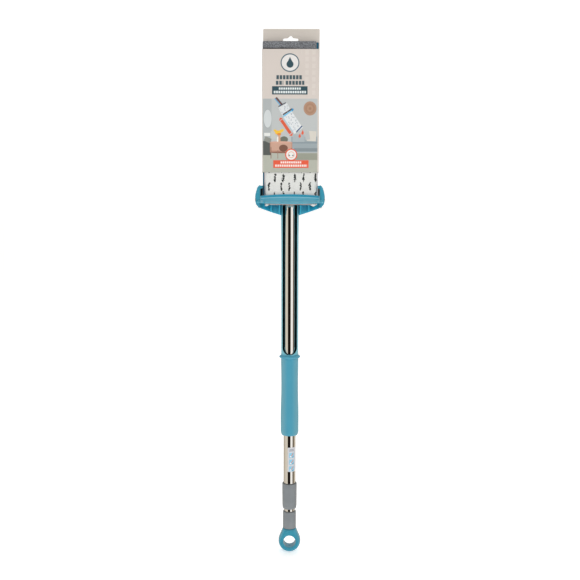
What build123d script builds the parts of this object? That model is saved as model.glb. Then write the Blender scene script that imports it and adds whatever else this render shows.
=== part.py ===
from build123d import *
import math
import os

os.makedirs("parts", exist_ok=True)

# Self-wringing flat mop with a telescopic handle, stored head up in its card sleeve.
# Millimetres. Origin at the centre of the hang eye's hole, +Z up the handle to the head,
# -Y the mopping face, +X right. Everything on the handle is centred on the Z axis.

# ---- hang eye and inner tube -----------------------------------------------------------
eye_radius = 22.8
eye_hole_radius = 12.6
eye_thickness = 25.0
eye_edge_round = 3.0
eye_neck_top = 27.5
eye_plug_length = 30.0
drain_radius = 1.4
inner_tube_diameter = 22.0
inner_tube_wall = 0.6
inner_tube_length = 490.0
end_sleeve_wall = 2.6
end_sleeve_length = 35.5

# ---- twist lock and collar -------------------------------------------------------------
outer_tube_diameter = 25.0
outer_tube_wall = 0.5
collar_lift = 6.6               # from the end sleeve up to the collar
collar_height = 53.6
collar_taper_height = 5.4
collar_bottom_wall = 1.1        # collar walls are measured from the outer tube's surface
collar_low_wall = 2.2
collar_top_wall = 2.7
collar_grip_depth = 33.0        # how far the collar laps over the outer tube
collar_floor = 2.5              # collar's end wall, under the bush
lock_length = 30.0
lock_spindle_radius = 4.0
lock_flange_height = 2.5
lock_plug_length = 24.0
friction_ring_section = 2.2

# ---- label and swivel ------------------------------------------------------------------
label_lift = 27.1               # from the collar up to the label
label_height = 51.6
label_width = 23.0              # measured round the tube
label_centre_angle = -55.0      # degrees from +X, towards the front
label_thickness = 0.05
swivel_plug_length = 32.0
swivel_flange_height = 3.0
swivel_spindle_radius = 5.5
swivel_spindle_height = 11.7
washer_height = 0.8
screw_head_height = 3.0
screw_head_radius = 7.4
screw_shank_radius = 2.0
plug_rivet_radius = 2.0

# ---- mop head --------------------------------------------------------------------------
plate_width = 108.4
plate_length = 315.7
plate_thickness = 5.0
plate_standoff = 6.0            # from the outer tube's front to the plate's back
plate_bottom = 704.2
plate_corner = 4.0
plate_rib_height = 1.4
plate_rib_width = 2.4
plate_rib_spots = (0.24, 0.41)  # as shares of the plate's width, each side of the middle
pad_left_margin = 3.7           # the pad and its far pocket sit a little askew on the plate
pocket_right_margin = 2.8
pad_backing_thickness = 1.5
pad_pile_thickness = 8.0
pocket_thickness = 1.8
pocket_overhang = 2.0           # how far a pocket's closed end stands past the plate
far_pocket_length = 34.0
near_pocket_length = 40.0
far_terry_thickness = 6.5
pin_radius = 2.5
lug_radius = 5.8
lug_half_width = 7.9
bracket_width = 33.0
bracket_length = 54.0
bracket_thickness = 2.6
bracket_screw_radius = 1.5
bracket_screw_head = 3.1
bracket_screw_depth = 3.0
bracket_screw_margin = (5.5, 6.0)

# ---- card sleeve -----------------------------------------------------------------------
card_thickness = 0.5
card_side_play = 3.4            # card's width over the plate's
card_offset = 0.9               # the sleeve sits a little to the right of the plate
card_pile_gap = 2.7             # room for the pile to fluff out under the card
card_bottom_lift = 61.8         # from the plate's near end
card_front_drop = 17.4          # from the pad's far end down to the front panel's edge
card_header_height = 25.3       # from the pad's far end up to the header's edge
card_slot_play = 3.5            # each side of the hinge bracket
euro_half_width = 15.0
euro_lift = 0.1                 # slot heights are measured from the pad's far end
euro_shoulder_lift = 6.4
euro_apex_lift = 11.8
euro_nose_half_width = 5.0

# ---- wringer slide: grip, sleeve and channel -------------------------------------------
grip_lift = 103.8               # from the collar up to the grip, the slide's travel and a little more
grip_length = 161.0
grip_walls = [(5.0, 2.8), (15.3, 3.05), (34.3, 3.2), (54.3, 3.05), (73.3, 2.5), (114.3, 2.1), (153.3, 2.55)]
bush_wall = 0.8
bush_length = 18.0
sleeve_wall = 1.9
ring_height = 6.7
ring_stand = 6.7                # how far the ring stands out from the sleeve
channel_gap = 2.2               # from the outer tube to the channel's inner face
channel_wall = 2.7
channel_boss_wall = 0.65
channel_boss_height = 9.0
channel_slot_start = 15.8       # from the ring to the centre of the slot's round end

# ---- wringer frame ---------------------------------------------------------------------
wringer_drop = 21.2             # from the pad's near end down to the wringer's lowest edge
wringer_height = 60.5
wringer_side_gap = 4.8          # each side of the plate
skirt = [(0.288, 0.0), (0.441, 3.0), (0.656, 7.1), (0.908, 13.2)]   # share of the inner half-width, height
ear = [(4.0, 17.6), (7.6, 21.0), (9.1, 25.3), (9.8, 37.4), (9.0, 43.5), (7.3, 49.5), (4.6, 56.0),
       (1.2, 59.2), (-3.0, 60.5)]                                   # out from the inner half-width, height
wringer_back_wall = 2.6         # rear wall behind the channel
wringer_wall = 3.6
wringer_flat_half = 40.0        # half-width of the flat middle of the rear wall
wringer_slant_front = -6.0      # Y where the slanted wall meets the side wall
wringer_front_lead = 4.7        # side walls stand this far in front of the bar's face
window_lift = 31.0
window_height = 24.0
window_margin = 2.6
channel_in_frame = 35.0
rib_thickness = 2.4
rib_lead = 3.8                  # from the channel to the middle of the inner ribs
outer_rib_x = 38.0
side_pocket = (2.2, 6.2)        # hollow inside each side wall, open below
side_pocket_wall = 2.6
side_pocket_height = 46.0

# ---- front bar -------------------------------------------------------------------------
bar_thickness = 2.2
bar_top_centre = 42.1           # heights are measured from the wringer's lowest edge
bar_top_end = 38.8
bar_ridge = 36.2
bar_bottom_centre = 22.7
bar_bottom_end = 24.6
apron_depth = 13.5
apron_overlap = 6.0             # how far the apron spreads in front of each side wall
bar_block_length = 9.0
lip_thickness = 1.0
lip_height = 5.0
bar_screw_radius = 1.4
bar_screw_head = 2.8
bar_screw_sink = 2.1

# ---- clearances ------------------------------------------------------------------------
run_clear = 0.05                # radial, shaft in bore
slide_clear = 0.10              # radial, bushes on the outer tube
free_clear = 0.3                # between faces that pass each other
card_clear = 0.4                # card to the wringer that passes it
card_gap = 0.7                  # pocket cloth to the card's back panel

# ---- handle sizes that follow ----------------------------------------------------------
inner_r = inner_tube_diameter / 2
inner_bore = inner_r - inner_tube_wall
outer_r = outer_tube_diameter / 2
outer_bore = outer_r - outer_tube_wall
inner_bottom = eye_neck_top
inner_top = inner_bottom + inner_tube_length
end_sleeve_r = inner_r + end_sleeve_wall
end_sleeve_top = eye_neck_top + end_sleeve_length
collar_bottom = end_sleeve_top + collar_lift
collar_top = collar_bottom + collar_height
outer_bottom = collar_top - collar_grip_depth
bush_bottom = collar_bottom + collar_floor
label_bottom = collar_top + label_lift

# ---- head sizes that follow ------------------------------------------------------------
plate_half = plate_width / 2
plate_back = -outer_r - plate_standoff
plate_front = plate_back - plate_thickness
plate_top = plate_bottom + plate_length
pin_z = plate_bottom + plate_length / 2
pad_left = -plate_half + pad_left_margin
pad_right = plate_half
pocket_left = -plate_half
pocket_right = plate_half - pocket_right_margin
backing_front = plate_front - pad_backing_thickness
pile_front = backing_front - pad_pile_thickness
pad_bottom = plate_bottom - pocket_overhang
pad_top = plate_top + pocket_overhang
far_pocket_bottom = pad_top - far_pocket_length
spindle_top = pin_z - lug_radius - free_clear - screw_head_height - 4.4
flange_top = spindle_top - swivel_spindle_height
outer_top = flange_top - swivel_flange_height
yoke_bottom = flange_top + washer_height
yoke_base_top = spindle_top - free_clear
yoke_radius = outer_r - 0.2

# ---- card sizes that follow ------------------------------------------------------------
card_width = plate_width + card_side_play
card_left = card_offset - card_width / 2
card_right = card_offset + card_width / 2
card_front = pile_front - card_pile_gap - card_thickness                # outer front face
card_back = plate_back + pocket_thickness + card_gap + card_thickness   # outer back face
card_bottom = plate_bottom + card_bottom_lift
card_front_top = pad_top - card_front_drop
card_header_top = pad_top + card_header_height
card_slot_half_width = bracket_width / 2 + card_slot_play

# ---- wringer sizes that follow ---------------------------------------------------------
grip_bottom = collar_top + grip_lift
grip_top = grip_bottom + grip_length
bush_r = outer_r + slide_clear + bush_wall
grip_bore_radius = bush_r + sleeve_wall
ring_bottom = grip_top
ring_top = ring_bottom + ring_height
ring_radius = grip_bore_radius + ring_stand
channel_inner_radius = outer_r + channel_gap
channel_outer = channel_inner_radius + channel_wall
channel_boss_radius = channel_outer + channel_boss_wall
channel_slot_half_width = channel_inner_radius - 0.2
channel_slot_centre = ring_top + channel_slot_start
wringer_bottom = pad_bottom - wringer_drop
wringer_top = wringer_bottom + wringer_height
channel_top = wringer_bottom + channel_in_frame
wringer_inner_half = plate_half + wringer_side_gap
wringer_back = channel_outer + wringer_back_wall
inner_rib_x = channel_outer + rib_lead
rib_front = card_back + card_clear
window_bottom = wringer_bottom + window_lift
window_top = window_bottom + window_height
window_half = wringer_inner_half - window_margin
lip_face = card_front - card_clear
bar_back = lip_face - lip_thickness
bar_front = bar_back - bar_thickness
bar_half_width = wringer_inner_half - free_clear
apron_half_width = wringer_inner_half + apron_overlap
wringer_front = bar_front - wringer_front_lead
wringer_side = wringer_inner_half + max(out for out, lift in ear)


# ---- small makers ----------------------------------------------------------------------
def block(x0, x1, y0, y1, z0, z1):
    return Pos((x0 + x1) / 2, (y0 + y1) / 2, (z0 + z1) / 2) * Box(x1 - x0, y1 - y0, z1 - z0)


def rod(radius, z0, z1):
    return Pos(0, 0, (z0 + z1) / 2) * Cylinder(radius, z1 - z0)


def tube(outer, inner, z0, z1):
    return rod(outer, z0, z1) - rod(inner, z0 - 1, z1 + 1)


def rod_x(radius, x0, x1, y, z):
    return Pos((x0 + x1) / 2, y, z) * Rot(0, 90, 0) * Cylinder(radius, x1 - x0)


def rod_y(radius, x, y0, y1, z):
    return Pos(x, (y0 + y1) / 2, z) * Rot(90, 0, 0) * Cylinder(radius, y1 - y0)


def front_prism(points, y0, y1):
    """A polygon of (x, z) points, carried from y0 to y1."""
    wire = Polyline([(x, y0, z) for x, z in points], close=True)
    return extrude(make_face(wire), amount=y1 - y0, dir=(0, 1, 0))


def side_prism(points, x0, x1):
    """A polygon of (y, z) points, carried from x0 to x1."""
    wire = Polyline([(x0, y, z) for y, z in points], close=True)
    return extrude(make_face(wire), amount=x1 - x0, dir=(1, 0, 0))


def plan_prism(points, z0, z1):
    """A polygon of (x, y) points, carried from z0 to z1."""
    wire = Polyline([(x, y, z0) for x, y in points], close=True)
    return extrude(make_face(wire), amount=z1 - z0, dir=(0, 0, 1))


def turned(points):
    """A closed profile of (radius, z) points, turned about Z."""
    wire = Polyline([(r, 0, z) for r, z in points], close=True)
    return revolve(make_face(wire), Axis.Z)


def group(solids):
    return Compound(children=list(solids))


def save(shape, node):
    export_step(shape, f"parts/{node}.step")


# ---- handle end ------------------------------------------------------------------------
def make_hang_eye():
    # Flanks run tangent to the ring from the foot of the end sleeve.
    foot = end_sleeve_r - 0.5
    reach = math.hypot(foot, eye_neck_top)
    lean = math.atan2(eye_neck_top, foot) - math.acos(eye_radius / reach)
    touch = (eye_radius * math.cos(lean), eye_radius * math.sin(lean))
    flank = [(touch[0], touch[1]), (foot, eye_neck_top), (-foot, eye_neck_top), (-touch[0], touch[1])]
    half = eye_thickness / 2
    eye = rod_y(eye_radius, 0, -half, half, 0) + front_prism([(0, 0)] + flank, -half, half)
    eye -= rod_y(eye_hole_radius, 0, -half - 1, half + 1, 0)
    rims = eye.edges().filter_by(lambda e: abs(abs(e.center().Y) - half) < 0.01 and e.center().Z < eye_neck_top - 1)
    eye = fillet(rims, eye_edge_round)
    eye -= rod(drain_radius, -eye_radius - 1, -eye_hole_radius + 1)
    return eye + rod(inner_bore, eye_neck_top - 1, eye_neck_top + eye_plug_length)


def make_end_sleeve():
    sleeve = tube(end_sleeve_r, inner_r, eye_neck_top, end_sleeve_top)
    rim = sleeve.edges().filter_by(GeomType.CIRCLE).group_by(Axis.Z)[-1].sort_by(SortBy.RADIUS)[-1]
    return fillet(rim, 0.8)


save(make_hang_eye(), "hang_eye")
save(make_end_sleeve(), "end_sleeve")
save(tube(inner_r, inner_bore, inner_bottom, inner_top), "inner_tube")

# The plug is pressed into the inner tube and carries the lock's spindle.
lock_bottom = inner_top + lock_flange_height
lock_top = lock_bottom + lock_length
lock_r = outer_bore - free_clear
lock_plug = rod(inner_bore, inner_top - lock_plug_length, inner_top)
lock_plug += rod(inner_r, inner_top, lock_bottom)
lock_plug += rod(lock_spindle_radius, lock_bottom, lock_top + free_clear)
lock_plug += rod(lock_spindle_radius * 2, lock_top + free_clear, lock_top + 3)
save(lock_plug, "lock_plug")

# The expander turns on the spindle; the friction ring drags it round with the outer tube.
groove_mid = lock_bottom + lock_length * 0.3
groove = tube(lock_r + 1, lock_r - friction_ring_section / 2,
              groove_mid - friction_ring_section / 2, groove_mid + friction_ring_section / 2)
expander = turned([(lock_spindle_radius + run_clear, lock_bottom + free_clear),
                   (lock_r, lock_bottom + free_clear), (lock_r, lock_top - 8),
                   (lock_r - 3, lock_top), (lock_spindle_radius + run_clear, lock_top)])
expander -= groove
expander -= block(-0.8, 0.8, 0, outer_r, lock_bottom + lock_length / 2, lock_top + 1)
save(expander, "lock_expander")
save(tube(outer_bore - run_clear, lock_r - friction_ring_section / 2,
          groove_mid - friction_ring_section / 2, groove_mid + friction_ring_section / 2), "friction_ring")


# ---- outer pole ------------------------------------------------------------------------
def make_collar():
    low = collar_bottom + collar_taper_height
    outside = [(outer_r + collar_bottom_wall, collar_bottom), (outer_r + collar_low_wall, low),
               (outer_r + collar_top_wall, collar_top - 1.2), (outer_r + collar_top_wall - 1.2, collar_top)]
    inside = [(outer_r, collar_top), (outer_r, bush_bottom), (inner_r + free_clear, bush_bottom),
              (inner_r + free_clear, collar_bottom)]
    return turned(outside + inside)


save(make_collar(), "twist_collar")
save(tube(outer_r, inner_r + run_clear, bush_bottom, outer_bottom), "collar_bush")

outer_tube = tube(outer_r, outer_bore, outer_bottom, outer_top)
rivet_z = outer_top - swivel_plug_length / 2
outer_tube -= rod_x(plug_rivet_radius, -outer_r - 1, outer_r + 1, 0, rivet_z)
save(outer_tube, "outer_tube")

label_half_angle = math.degrees(label_width / 2 / outer_r)
label_sector = [(0, 0)]
for step in range(-4, 5):
    turn = math.radians(label_centre_angle + label_half_angle * step / 4)
    label_sector.append((2 * outer_r * math.cos(turn), 2 * outer_r * math.sin(turn)))
label = tube(outer_r + label_thickness, outer_r, label_bottom, label_bottom + label_height)
label &= plan_prism(label_sector, label_bottom - 1, label_bottom + label_height + 1)
save(label, "tube_label")

swivel_plug = rod(outer_bore, outer_top - swivel_plug_length, outer_top)
swivel_plug += rod(outer_r, outer_top, flange_top)
swivel_plug += rod(swivel_spindle_radius, flange_top, spindle_top)
swivel_plug -= rod(screw_shank_radius, outer_top - 4, spindle_top + 1)
swivel_plug -= rod_x(plug_rivet_radius, -outer_r - 1, outer_r + 1, 0, rivet_z)
save(swivel_plug, "swivel_plug")
save(rod_x(plug_rivet_radius, -outer_r, outer_r, 0, rivet_z), "plug_rivet")
save(tube(outer_r - 0.3, swivel_spindle_radius + run_clear, flange_top, yoke_bottom), "swivel_washer")
swivel_screw = rod(screw_head_radius, spindle_top, spindle_top + screw_head_height)
swivel_screw += rod(screw_shank_radius, outer_top - 4, spindle_top)
swivel_screw -= block(-4, 4, -0.6, 0.6, spindle_top + screw_head_height - 1.2, spindle_top + 9)
swivel_screw -= block(-0.6, 0.6, -4, 4, spindle_top + screw_head_height - 1.2, spindle_top + 9)
save(swivel_screw, "swivel_screw")


# ---- hinge -----------------------------------------------------------------------------
arm_inner = lug_half_width + free_clear
arm_half_depth = lug_radius + 0.2
yoke = rod(yoke_radius, yoke_bottom + free_clear, yoke_base_top)
arms = block(-yoke_radius, yoke_radius, -arm_half_depth, arm_half_depth, yoke_base_top - 1, pin_z)
arms += rod_x(arm_half_depth, -yoke_radius, yoke_radius, 0, pin_z)
arms -= block(-arm_inner, arm_inner, -20, 20, yoke_base_top, pin_z + 20)
yoke += arms & rod(yoke_radius, yoke_base_top - 1, pin_z + 20)
yoke -= rod(swivel_spindle_radius + run_clear, yoke_bottom - 1, yoke_base_top + 1)
yoke -= rod_x(pin_radius, -20, 20, 0, pin_z)
save(yoke, "swivel_yoke")
pin_half = yoke_radius - 0.4
save(rod_x(pin_radius, -pin_half, pin_half, 0, pin_z), "hinge_pin")

bracket_back = plate_back + bracket_thickness
bracket = block(-bracket_width / 2, bracket_width / 2, plate_back, bracket_back,
                pin_z - bracket_length / 2, pin_z + bracket_length / 2)
bracket = fillet(bracket.edges().filter_by(Axis.Y), 6)
lug_foot = lug_radius + 7
lug = side_prism([(bracket_back, pin_z - lug_foot), (0, pin_z - lug_radius), (0, pin_z + lug_radius),
                  (bracket_back, pin_z + lug_foot)], -lug_half_width, lug_half_width)
lug += rod_x(lug_radius, -lug_half_width, lug_half_width, 0, pin_z)
lug -= rod_x(pin_radius + run_clear, -20, 20, 0, pin_z)
bracket_lug_relief = rod(screw_head_radius + free_clear, spindle_top - 1,
                         spindle_top + screw_head_height + free_clear)
bracket += lug - bracket_lug_relief
screw_x = bracket_width / 2 - bracket_screw_margin[0]
screw_rise = bracket_length / 2 - bracket_screw_margin[1]
screw_spots = [(sx * screw_x, pin_z + sz * screw_rise) for sx in (-1, 1) for sz in (-1, 1)]
for x, z in screw_spots:
    bracket -= rod_y(bracket_screw_radius, x, plate_back - 1, bracket_back + 1, z)
save(bracket, "hinge_bracket")

bracket_screws = []
for x, z in screw_spots:
    screw = rod_y(bracket_screw_radius, x, plate_back - bracket_screw_depth, bracket_back, z)
    head = rod_y(bracket_screw_head, x, bracket_back, bracket_back + 1.8, z)
    slot = block(x - 2, x + 2, bracket_back + 1, bracket_back + 3, z - 0.4, z + 0.4)
    bracket_screws.append(screw + head - slot)
save(group(bracket_screws), "bracket_screws")


# ---- mop head --------------------------------------------------------------------------
plate = block(-plate_width / 2, plate_width / 2, plate_front, plate_back, plate_bottom, plate_top)
plate = fillet(plate.edges().filter_by(Axis.Y), plate_corner)
for share in plate_rib_spots:
    for x in (-share * plate_width, share * plate_width):
        plate += block(x - plate_rib_width / 2, x + plate_rib_width / 2,
                       plate_back, plate_back + plate_rib_height,
                       plate_bottom + near_pocket_length + 4, plate_top - far_pocket_length - 4)
for x, z in screw_spots:
    plate -= rod_y(bracket_screw_radius, x, plate_back - bracket_screw_depth, plate_back + 1, z)
save(plate, "head_plate")

backing = block(pad_left, pad_right, backing_front, plate_front, pad_bottom, far_pocket_bottom)
save(backing, "pad_backing")
pile = block(pad_left, pad_right, pile_front, backing_front, pad_bottom, far_pocket_bottom)
save(pile, "pad_pile")


def make_pocket(x0, x1, front, plate_end, closed_end, open_end):
    """A cloth pocket over one end of the plate: front layer, closed end and back layer."""
    low, high = min(closed_end, open_end), max(closed_end, open_end)
    whole = block(x0, x1, front, plate_back + pocket_thickness, low, high)
    inside_low, inside_high = min(plate_end, open_end - 1), max(plate_end, open_end + 1)
    return whole - block(x0 - 1, x1 + 1, plate_front, plate_back, inside_low, inside_high)


far_pocket = make_pocket(pocket_left, pocket_right, backing_front - far_terry_thickness, plate_top,
                         pad_top, far_pocket_bottom)
save(far_pocket, "far_pocket")
near_wrap = block(pad_left, pad_right, plate_front, plate_back + pocket_thickness,
                  pad_bottom, pad_bottom + near_pocket_length)
near_wrap -= block(pad_left - 1, pad_right + 1, plate_front - 1, plate_back, plate_bottom,
                   pad_bottom + near_pocket_length + 1)
save(near_wrap, "near_pocket")


# ---- card sleeve -----------------------------------------------------------------------
card = block(card_left, card_right, card_front, card_back, card_bottom, card_front_top)
card -= block(card_left + card_thickness, card_right - card_thickness, card_front + card_thickness,
              card_back - card_thickness, card_bottom - 1, card_front_top + 1)
back_face = card_back - card_thickness
header = block(card_left, card_right, back_face, card_back, card_front_top, card_header_top)
euro = [(-euro_half_width, euro_lift), (euro_half_width, euro_lift), (euro_half_width, euro_shoulder_lift),
        (euro_nose_half_width, euro_shoulder_lift + 1), (1.2, euro_apex_lift), (-1.2, euro_apex_lift),
        (-euro_nose_half_width, euro_shoulder_lift + 1), (-euro_half_width, euro_shoulder_lift)]
euro = [(x + card_offset, pad_top + lift) for x, lift in euro]
card += header - front_prism(euro, back_face - 1, card_back + 1)
card_slot_top = pin_z + bracket_length / 2 + 6
card -= block(-card_slot_half_width, card_slot_half_width, back_face - 0.1, card_back + 1,
              card_bottom - 1, card_slot_top)
save(card, "card_sleeve")


# ---- wringer slide ---------------------------------------------------------------------
def make_grip():
    points = [(grip_bore_radius + wall, 0, grip_bottom + lift) for lift, wall in grip_walls]
    foot = (grip_bore_radius + 0.6, 0, grip_bottom)
    nose = ThreePointArc(foot, (points[0][0] - 0.9, 0, grip_bottom + 2.4), points[0])
    back = Polyline([points[-1], (points[-1][0], 0, grip_top), (grip_bore_radius, 0, grip_top),
                     (grip_bore_radius, 0, grip_bottom), foot])
    return revolve(make_face([nose, Spline(points), back]), Axis.Z)


save(make_grip(), "grip")
sleeve_bottom = grip_bottom + 1.5
slide_sleeve = tube(grip_bore_radius, bush_r, sleeve_bottom, ring_bottom)
ring_mid = (ring_bottom + ring_top) / 2
slide_sleeve += turned([(bush_r, ring_bottom), (channel_boss_radius, ring_bottom), (ring_radius - 0.4, ring_mid - 0.5),
                        (ring_radius, ring_mid), (ring_radius - 0.4, ring_mid + 0.5),
                        (channel_boss_radius, ring_top), (bush_r, ring_top)])
save(slide_sleeve, "slide_sleeve")
save(tube(bush_r, outer_r + slide_clear, sleeve_bottom, sleeve_bottom + bush_length), "lower_bush")
save(tube(bush_r, outer_r + slide_clear, ring_top - bush_length, ring_top), "upper_bush")

channel = tube(channel_outer, channel_inner_radius, ring_top, channel_top)
channel += tube(channel_boss_radius, channel_outer - 0.5, ring_top, ring_top + channel_boss_height)
channel -= block(-channel_slot_half_width, channel_slot_half_width, -30, 0, channel_slot_centre, channel_top + 1)
channel -= rod_y(channel_slot_half_width, 0, -30, 0, channel_slot_centre)
save(channel, "wringer_channel")


# ---- wringer frame ---------------------------------------------------------------------
def frame_outline():
    half = [(share * wringer_inner_half, wringer_bottom + lift) for share, lift in skirt]
    half += [(wringer_inner_half + out, wringer_bottom + lift) for out, lift in ear]
    return half + [(-x, z) for x, z in reversed(half)]


def make_frame():
    side = wringer_side + 1
    outer = [(side, wringer_front), (side, wringer_slant_front), (wringer_flat_half + 2, wringer_back),
             (-wringer_flat_half - 2, wringer_back), (-side, wringer_slant_front), (-side, wringer_front)]
    inner = [(-wringer_inner_half, wringer_front), (-wringer_inner_half, wringer_slant_front - 2),
             (-wringer_flat_half, wringer_back - wringer_wall), (wringer_flat_half, wringer_back - wringer_wall),
             (wringer_inner_half, wringer_slant_front - 2), (wringer_inner_half, wringer_front)]
    body = plan_prism(outer + inner, wringer_bottom, wringer_top)
    body -= block(-window_half, window_half, rib_front + 3, wringer_back + 1, window_bottom, window_top)
    for x in (-outer_rib_x, -inner_rib_x, inner_rib_x, outer_rib_x):
        body += block(x - rib_thickness / 2, x + rib_thickness / 2, rib_front, wringer_back - 1,
                      wringer_bottom, wringer_top - 2)
    # The saddle holds the top of the channel between the two inner ribs.
    body += block(-inner_rib_x, inner_rib_x, 0, wringer_back - 1, wringer_bottom + 3, window_bottom)
    body &= front_prism(frame_outline(), wringer_front - 1, wringer_back + 1)
    body -= rod(channel_outer, wringer_bottom - 1, channel_top)
    body -= rod(channel_inner_radius, channel_top - 1, wringer_top + 1)
    for sign in (-1, 1):
        near, far = sorted(sign * (wringer_inner_half + out) for out in side_pocket)
        body -= block(near, far, wringer_front + side_pocket_wall, wringer_slant_front - 4,
                      wringer_bottom, wringer_bottom + side_pocket_height)
    return body


frame = make_frame()
screw_y = bar_front - 1.2
screw_z = wringer_bottom + bar_bottom_centre + 6.5
frame -= rod_x(bar_screw_radius, -wringer_side, wringer_side, screw_y, screw_z)
counterbore = wringer_side - bar_screw_sink
for sign in (-1, 1):
    frame -= rod_x(bar_screw_head, *sorted((sign * counterbore, sign * (wringer_side + 2))), screw_y, screw_z)
save(frame, "wringer_frame")


# ---- front bar -------------------------------------------------------------------------
def make_bar():
    top, top_end = wringer_bottom + bar_top_centre, wringer_bottom + bar_top_end
    ridge = wringer_bottom + bar_ridge
    drop, drop_end = wringer_bottom + bar_bottom_centre, wringer_bottom + bar_bottom_end
    nose = bar_front - apron_depth
    section = [(bar_back, drop + 1), (bar_back, top), (bar_front, top), (bar_front, ridge),
               (nose, drop + 1.6), (nose, drop), (nose + 1.4, drop), (bar_front - 1.6, ridge - 3.6),
               (bar_front, ridge - 4.4), (bar_front, drop + 1)]
    bar = side_prism(section, -apron_half_width, apron_half_width)
    plan = [(bar_half_width, bar_back + 1), (bar_half_width, wringer_front - free_clear),
            (apron_half_width - 1.5, nose + 3), (apron_half_width, nose - 1)]
    bar &= plan_prism(plan + [(-x, y) for x, y in reversed(plan)], drop - 1, top + 1)
    # Seen from the front the bar is a crescent: crowned above, bellied below.
    crown = ThreePointArc((-apron_half_width, 0, top_end), (0, 0, top), (apron_half_width, 0, top_end))
    belly = ThreePointArc((apron_half_width, 0, drop_end), (0, 0, drop), (-apron_half_width, 0, drop_end))
    face = make_face([crown, Line(crown @ 1, belly @ 0), belly, Line(belly @ 1, crown @ 0)])
    bar &= extrude(Pos(0, nose - 5, 0) * face, amount=apron_depth + 20, dir=(0, 1, 0))
    for sign in (-1, 1):
        x0, x1 = sorted((sign * (bar_half_width - bar_block_length), sign * bar_half_width))
        bar += block(x0, x1, screw_y - 2.6, bar_back, screw_z - 3, screw_z + 3)
        bar -= rod_x(bar_screw_radius, x0 - 0.5, x1 + 0.5, screw_y, screw_z)
    return bar


save(make_bar(), "front_bar")
lip_bottom = wringer_bottom + bar_bottom_centre + 3
save(block(-bar_half_width + 1, bar_half_width - 1, bar_back, lip_face, lip_bottom, lip_bottom + lip_height),
     "scraper_lip")

bar_screws = []
for sign in (-1, 1):
    shank = sorted((sign * (bar_half_width - bar_block_length), sign * counterbore))
    head = sorted((sign * counterbore, sign * (counterbore + 1.6)))
    bar_screws.append(rod_x(bar_screw_radius, *shank, screw_y, screw_z)
                      + rod_x(bar_screw_head, *head, screw_y, screw_z))
save(group(bar_screws), "bar_screws")
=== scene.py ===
import math
import bmesh
import bpy
import numpy as np
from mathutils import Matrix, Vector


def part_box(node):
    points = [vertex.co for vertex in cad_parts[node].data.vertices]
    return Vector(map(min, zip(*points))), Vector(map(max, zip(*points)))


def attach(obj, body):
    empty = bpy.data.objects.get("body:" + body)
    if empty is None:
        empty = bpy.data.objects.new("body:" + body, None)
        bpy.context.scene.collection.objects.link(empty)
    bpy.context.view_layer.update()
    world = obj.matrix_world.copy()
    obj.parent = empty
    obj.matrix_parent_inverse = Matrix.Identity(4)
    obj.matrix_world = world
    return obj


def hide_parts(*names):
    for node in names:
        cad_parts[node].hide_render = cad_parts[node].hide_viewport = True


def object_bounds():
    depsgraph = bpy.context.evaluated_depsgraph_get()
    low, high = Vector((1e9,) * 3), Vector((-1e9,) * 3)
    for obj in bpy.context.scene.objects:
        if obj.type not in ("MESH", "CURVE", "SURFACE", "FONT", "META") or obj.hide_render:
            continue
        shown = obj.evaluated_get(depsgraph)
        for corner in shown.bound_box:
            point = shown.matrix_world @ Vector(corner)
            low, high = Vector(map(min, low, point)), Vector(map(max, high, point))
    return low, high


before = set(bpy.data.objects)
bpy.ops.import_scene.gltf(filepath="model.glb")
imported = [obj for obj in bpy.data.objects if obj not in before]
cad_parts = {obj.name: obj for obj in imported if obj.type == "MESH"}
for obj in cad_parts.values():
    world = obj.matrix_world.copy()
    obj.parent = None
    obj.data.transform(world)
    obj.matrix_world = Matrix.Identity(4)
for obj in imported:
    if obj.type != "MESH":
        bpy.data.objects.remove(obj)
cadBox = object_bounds()
mm = 0.001


class Number:
    # a number socket, so that shader sums are written as sums
    def __init__(self, nodes, socket):
        self.nodes, self.socket = nodes, socket

    def __add__(self, other):
        return self.nodes.maths("ADD", self, other)

    def __sub__(self, other):
        return self.nodes.maths("SUBTRACT", self, other)

    def __rsub__(self, other):
        return self.nodes.maths("SUBTRACT", other, self)

    def __mul__(self, other):
        return self.nodes.maths("MULTIPLY", self, other)

    def __truediv__(self, other):
        return self.nodes.maths("DIVIDE", self, other)

    def __pow__(self, other):
        return self.nodes.maths("POWER", self, other)

    def __mod__(self, other):
        return self.nodes.maths("FLOORED_MODULO", self, other)

    def __abs__(self):
        return self.nodes.maths("ABSOLUTE", self)

    __radd__, __rmul__ = __add__, __mul__


class Nodes:
    # a node tree: one method adds any node, the others add the ones that are used most
    def __init__(self, tree):
        self.tree = tree

    def wire(self, socket, value):
        if isinstance(value, Number):
            self.tree.links.new(value.socket, socket)
        else:
            socket.default_value = paint(value) if isinstance(value, str) else value

    def node(self, kind, settings, sockets, out=0):
        made = self.tree.nodes.new(kind)
        for key, value in settings.items():
            setattr(made, key, value)
        for key, value in sockets.items():
            self.wire(made.inputs[key], value)
        return Number(self, made.outputs[out])

    def maths(self, how, a, b=0.0):
        return self.node("ShaderNodeMath", {"operation": how}, {0: a, 1: b})

    def mix(self, share, a, b):
        return self.node("ShaderNodeMix", {"data_type": "RGBA"}, {0: share, 6: a, 7: b}, 2)

    def between(self, value, low, high, start=0.0, end=1.0):
        # a smooth step from start to end as value goes from low to high
        settings = {"interpolation_type": "SMOOTHSTEP"}
        return self.node("ShaderNodeMapRange", settings, {0: value, 1: low, 2: high, 3: start, 4: end})

    def split(self, vector):
        made = self.node("ShaderNodeSeparateXYZ", {}, {0: vector})
        return [Number(self, out) for out in made.socket.node.outputs]


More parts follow.
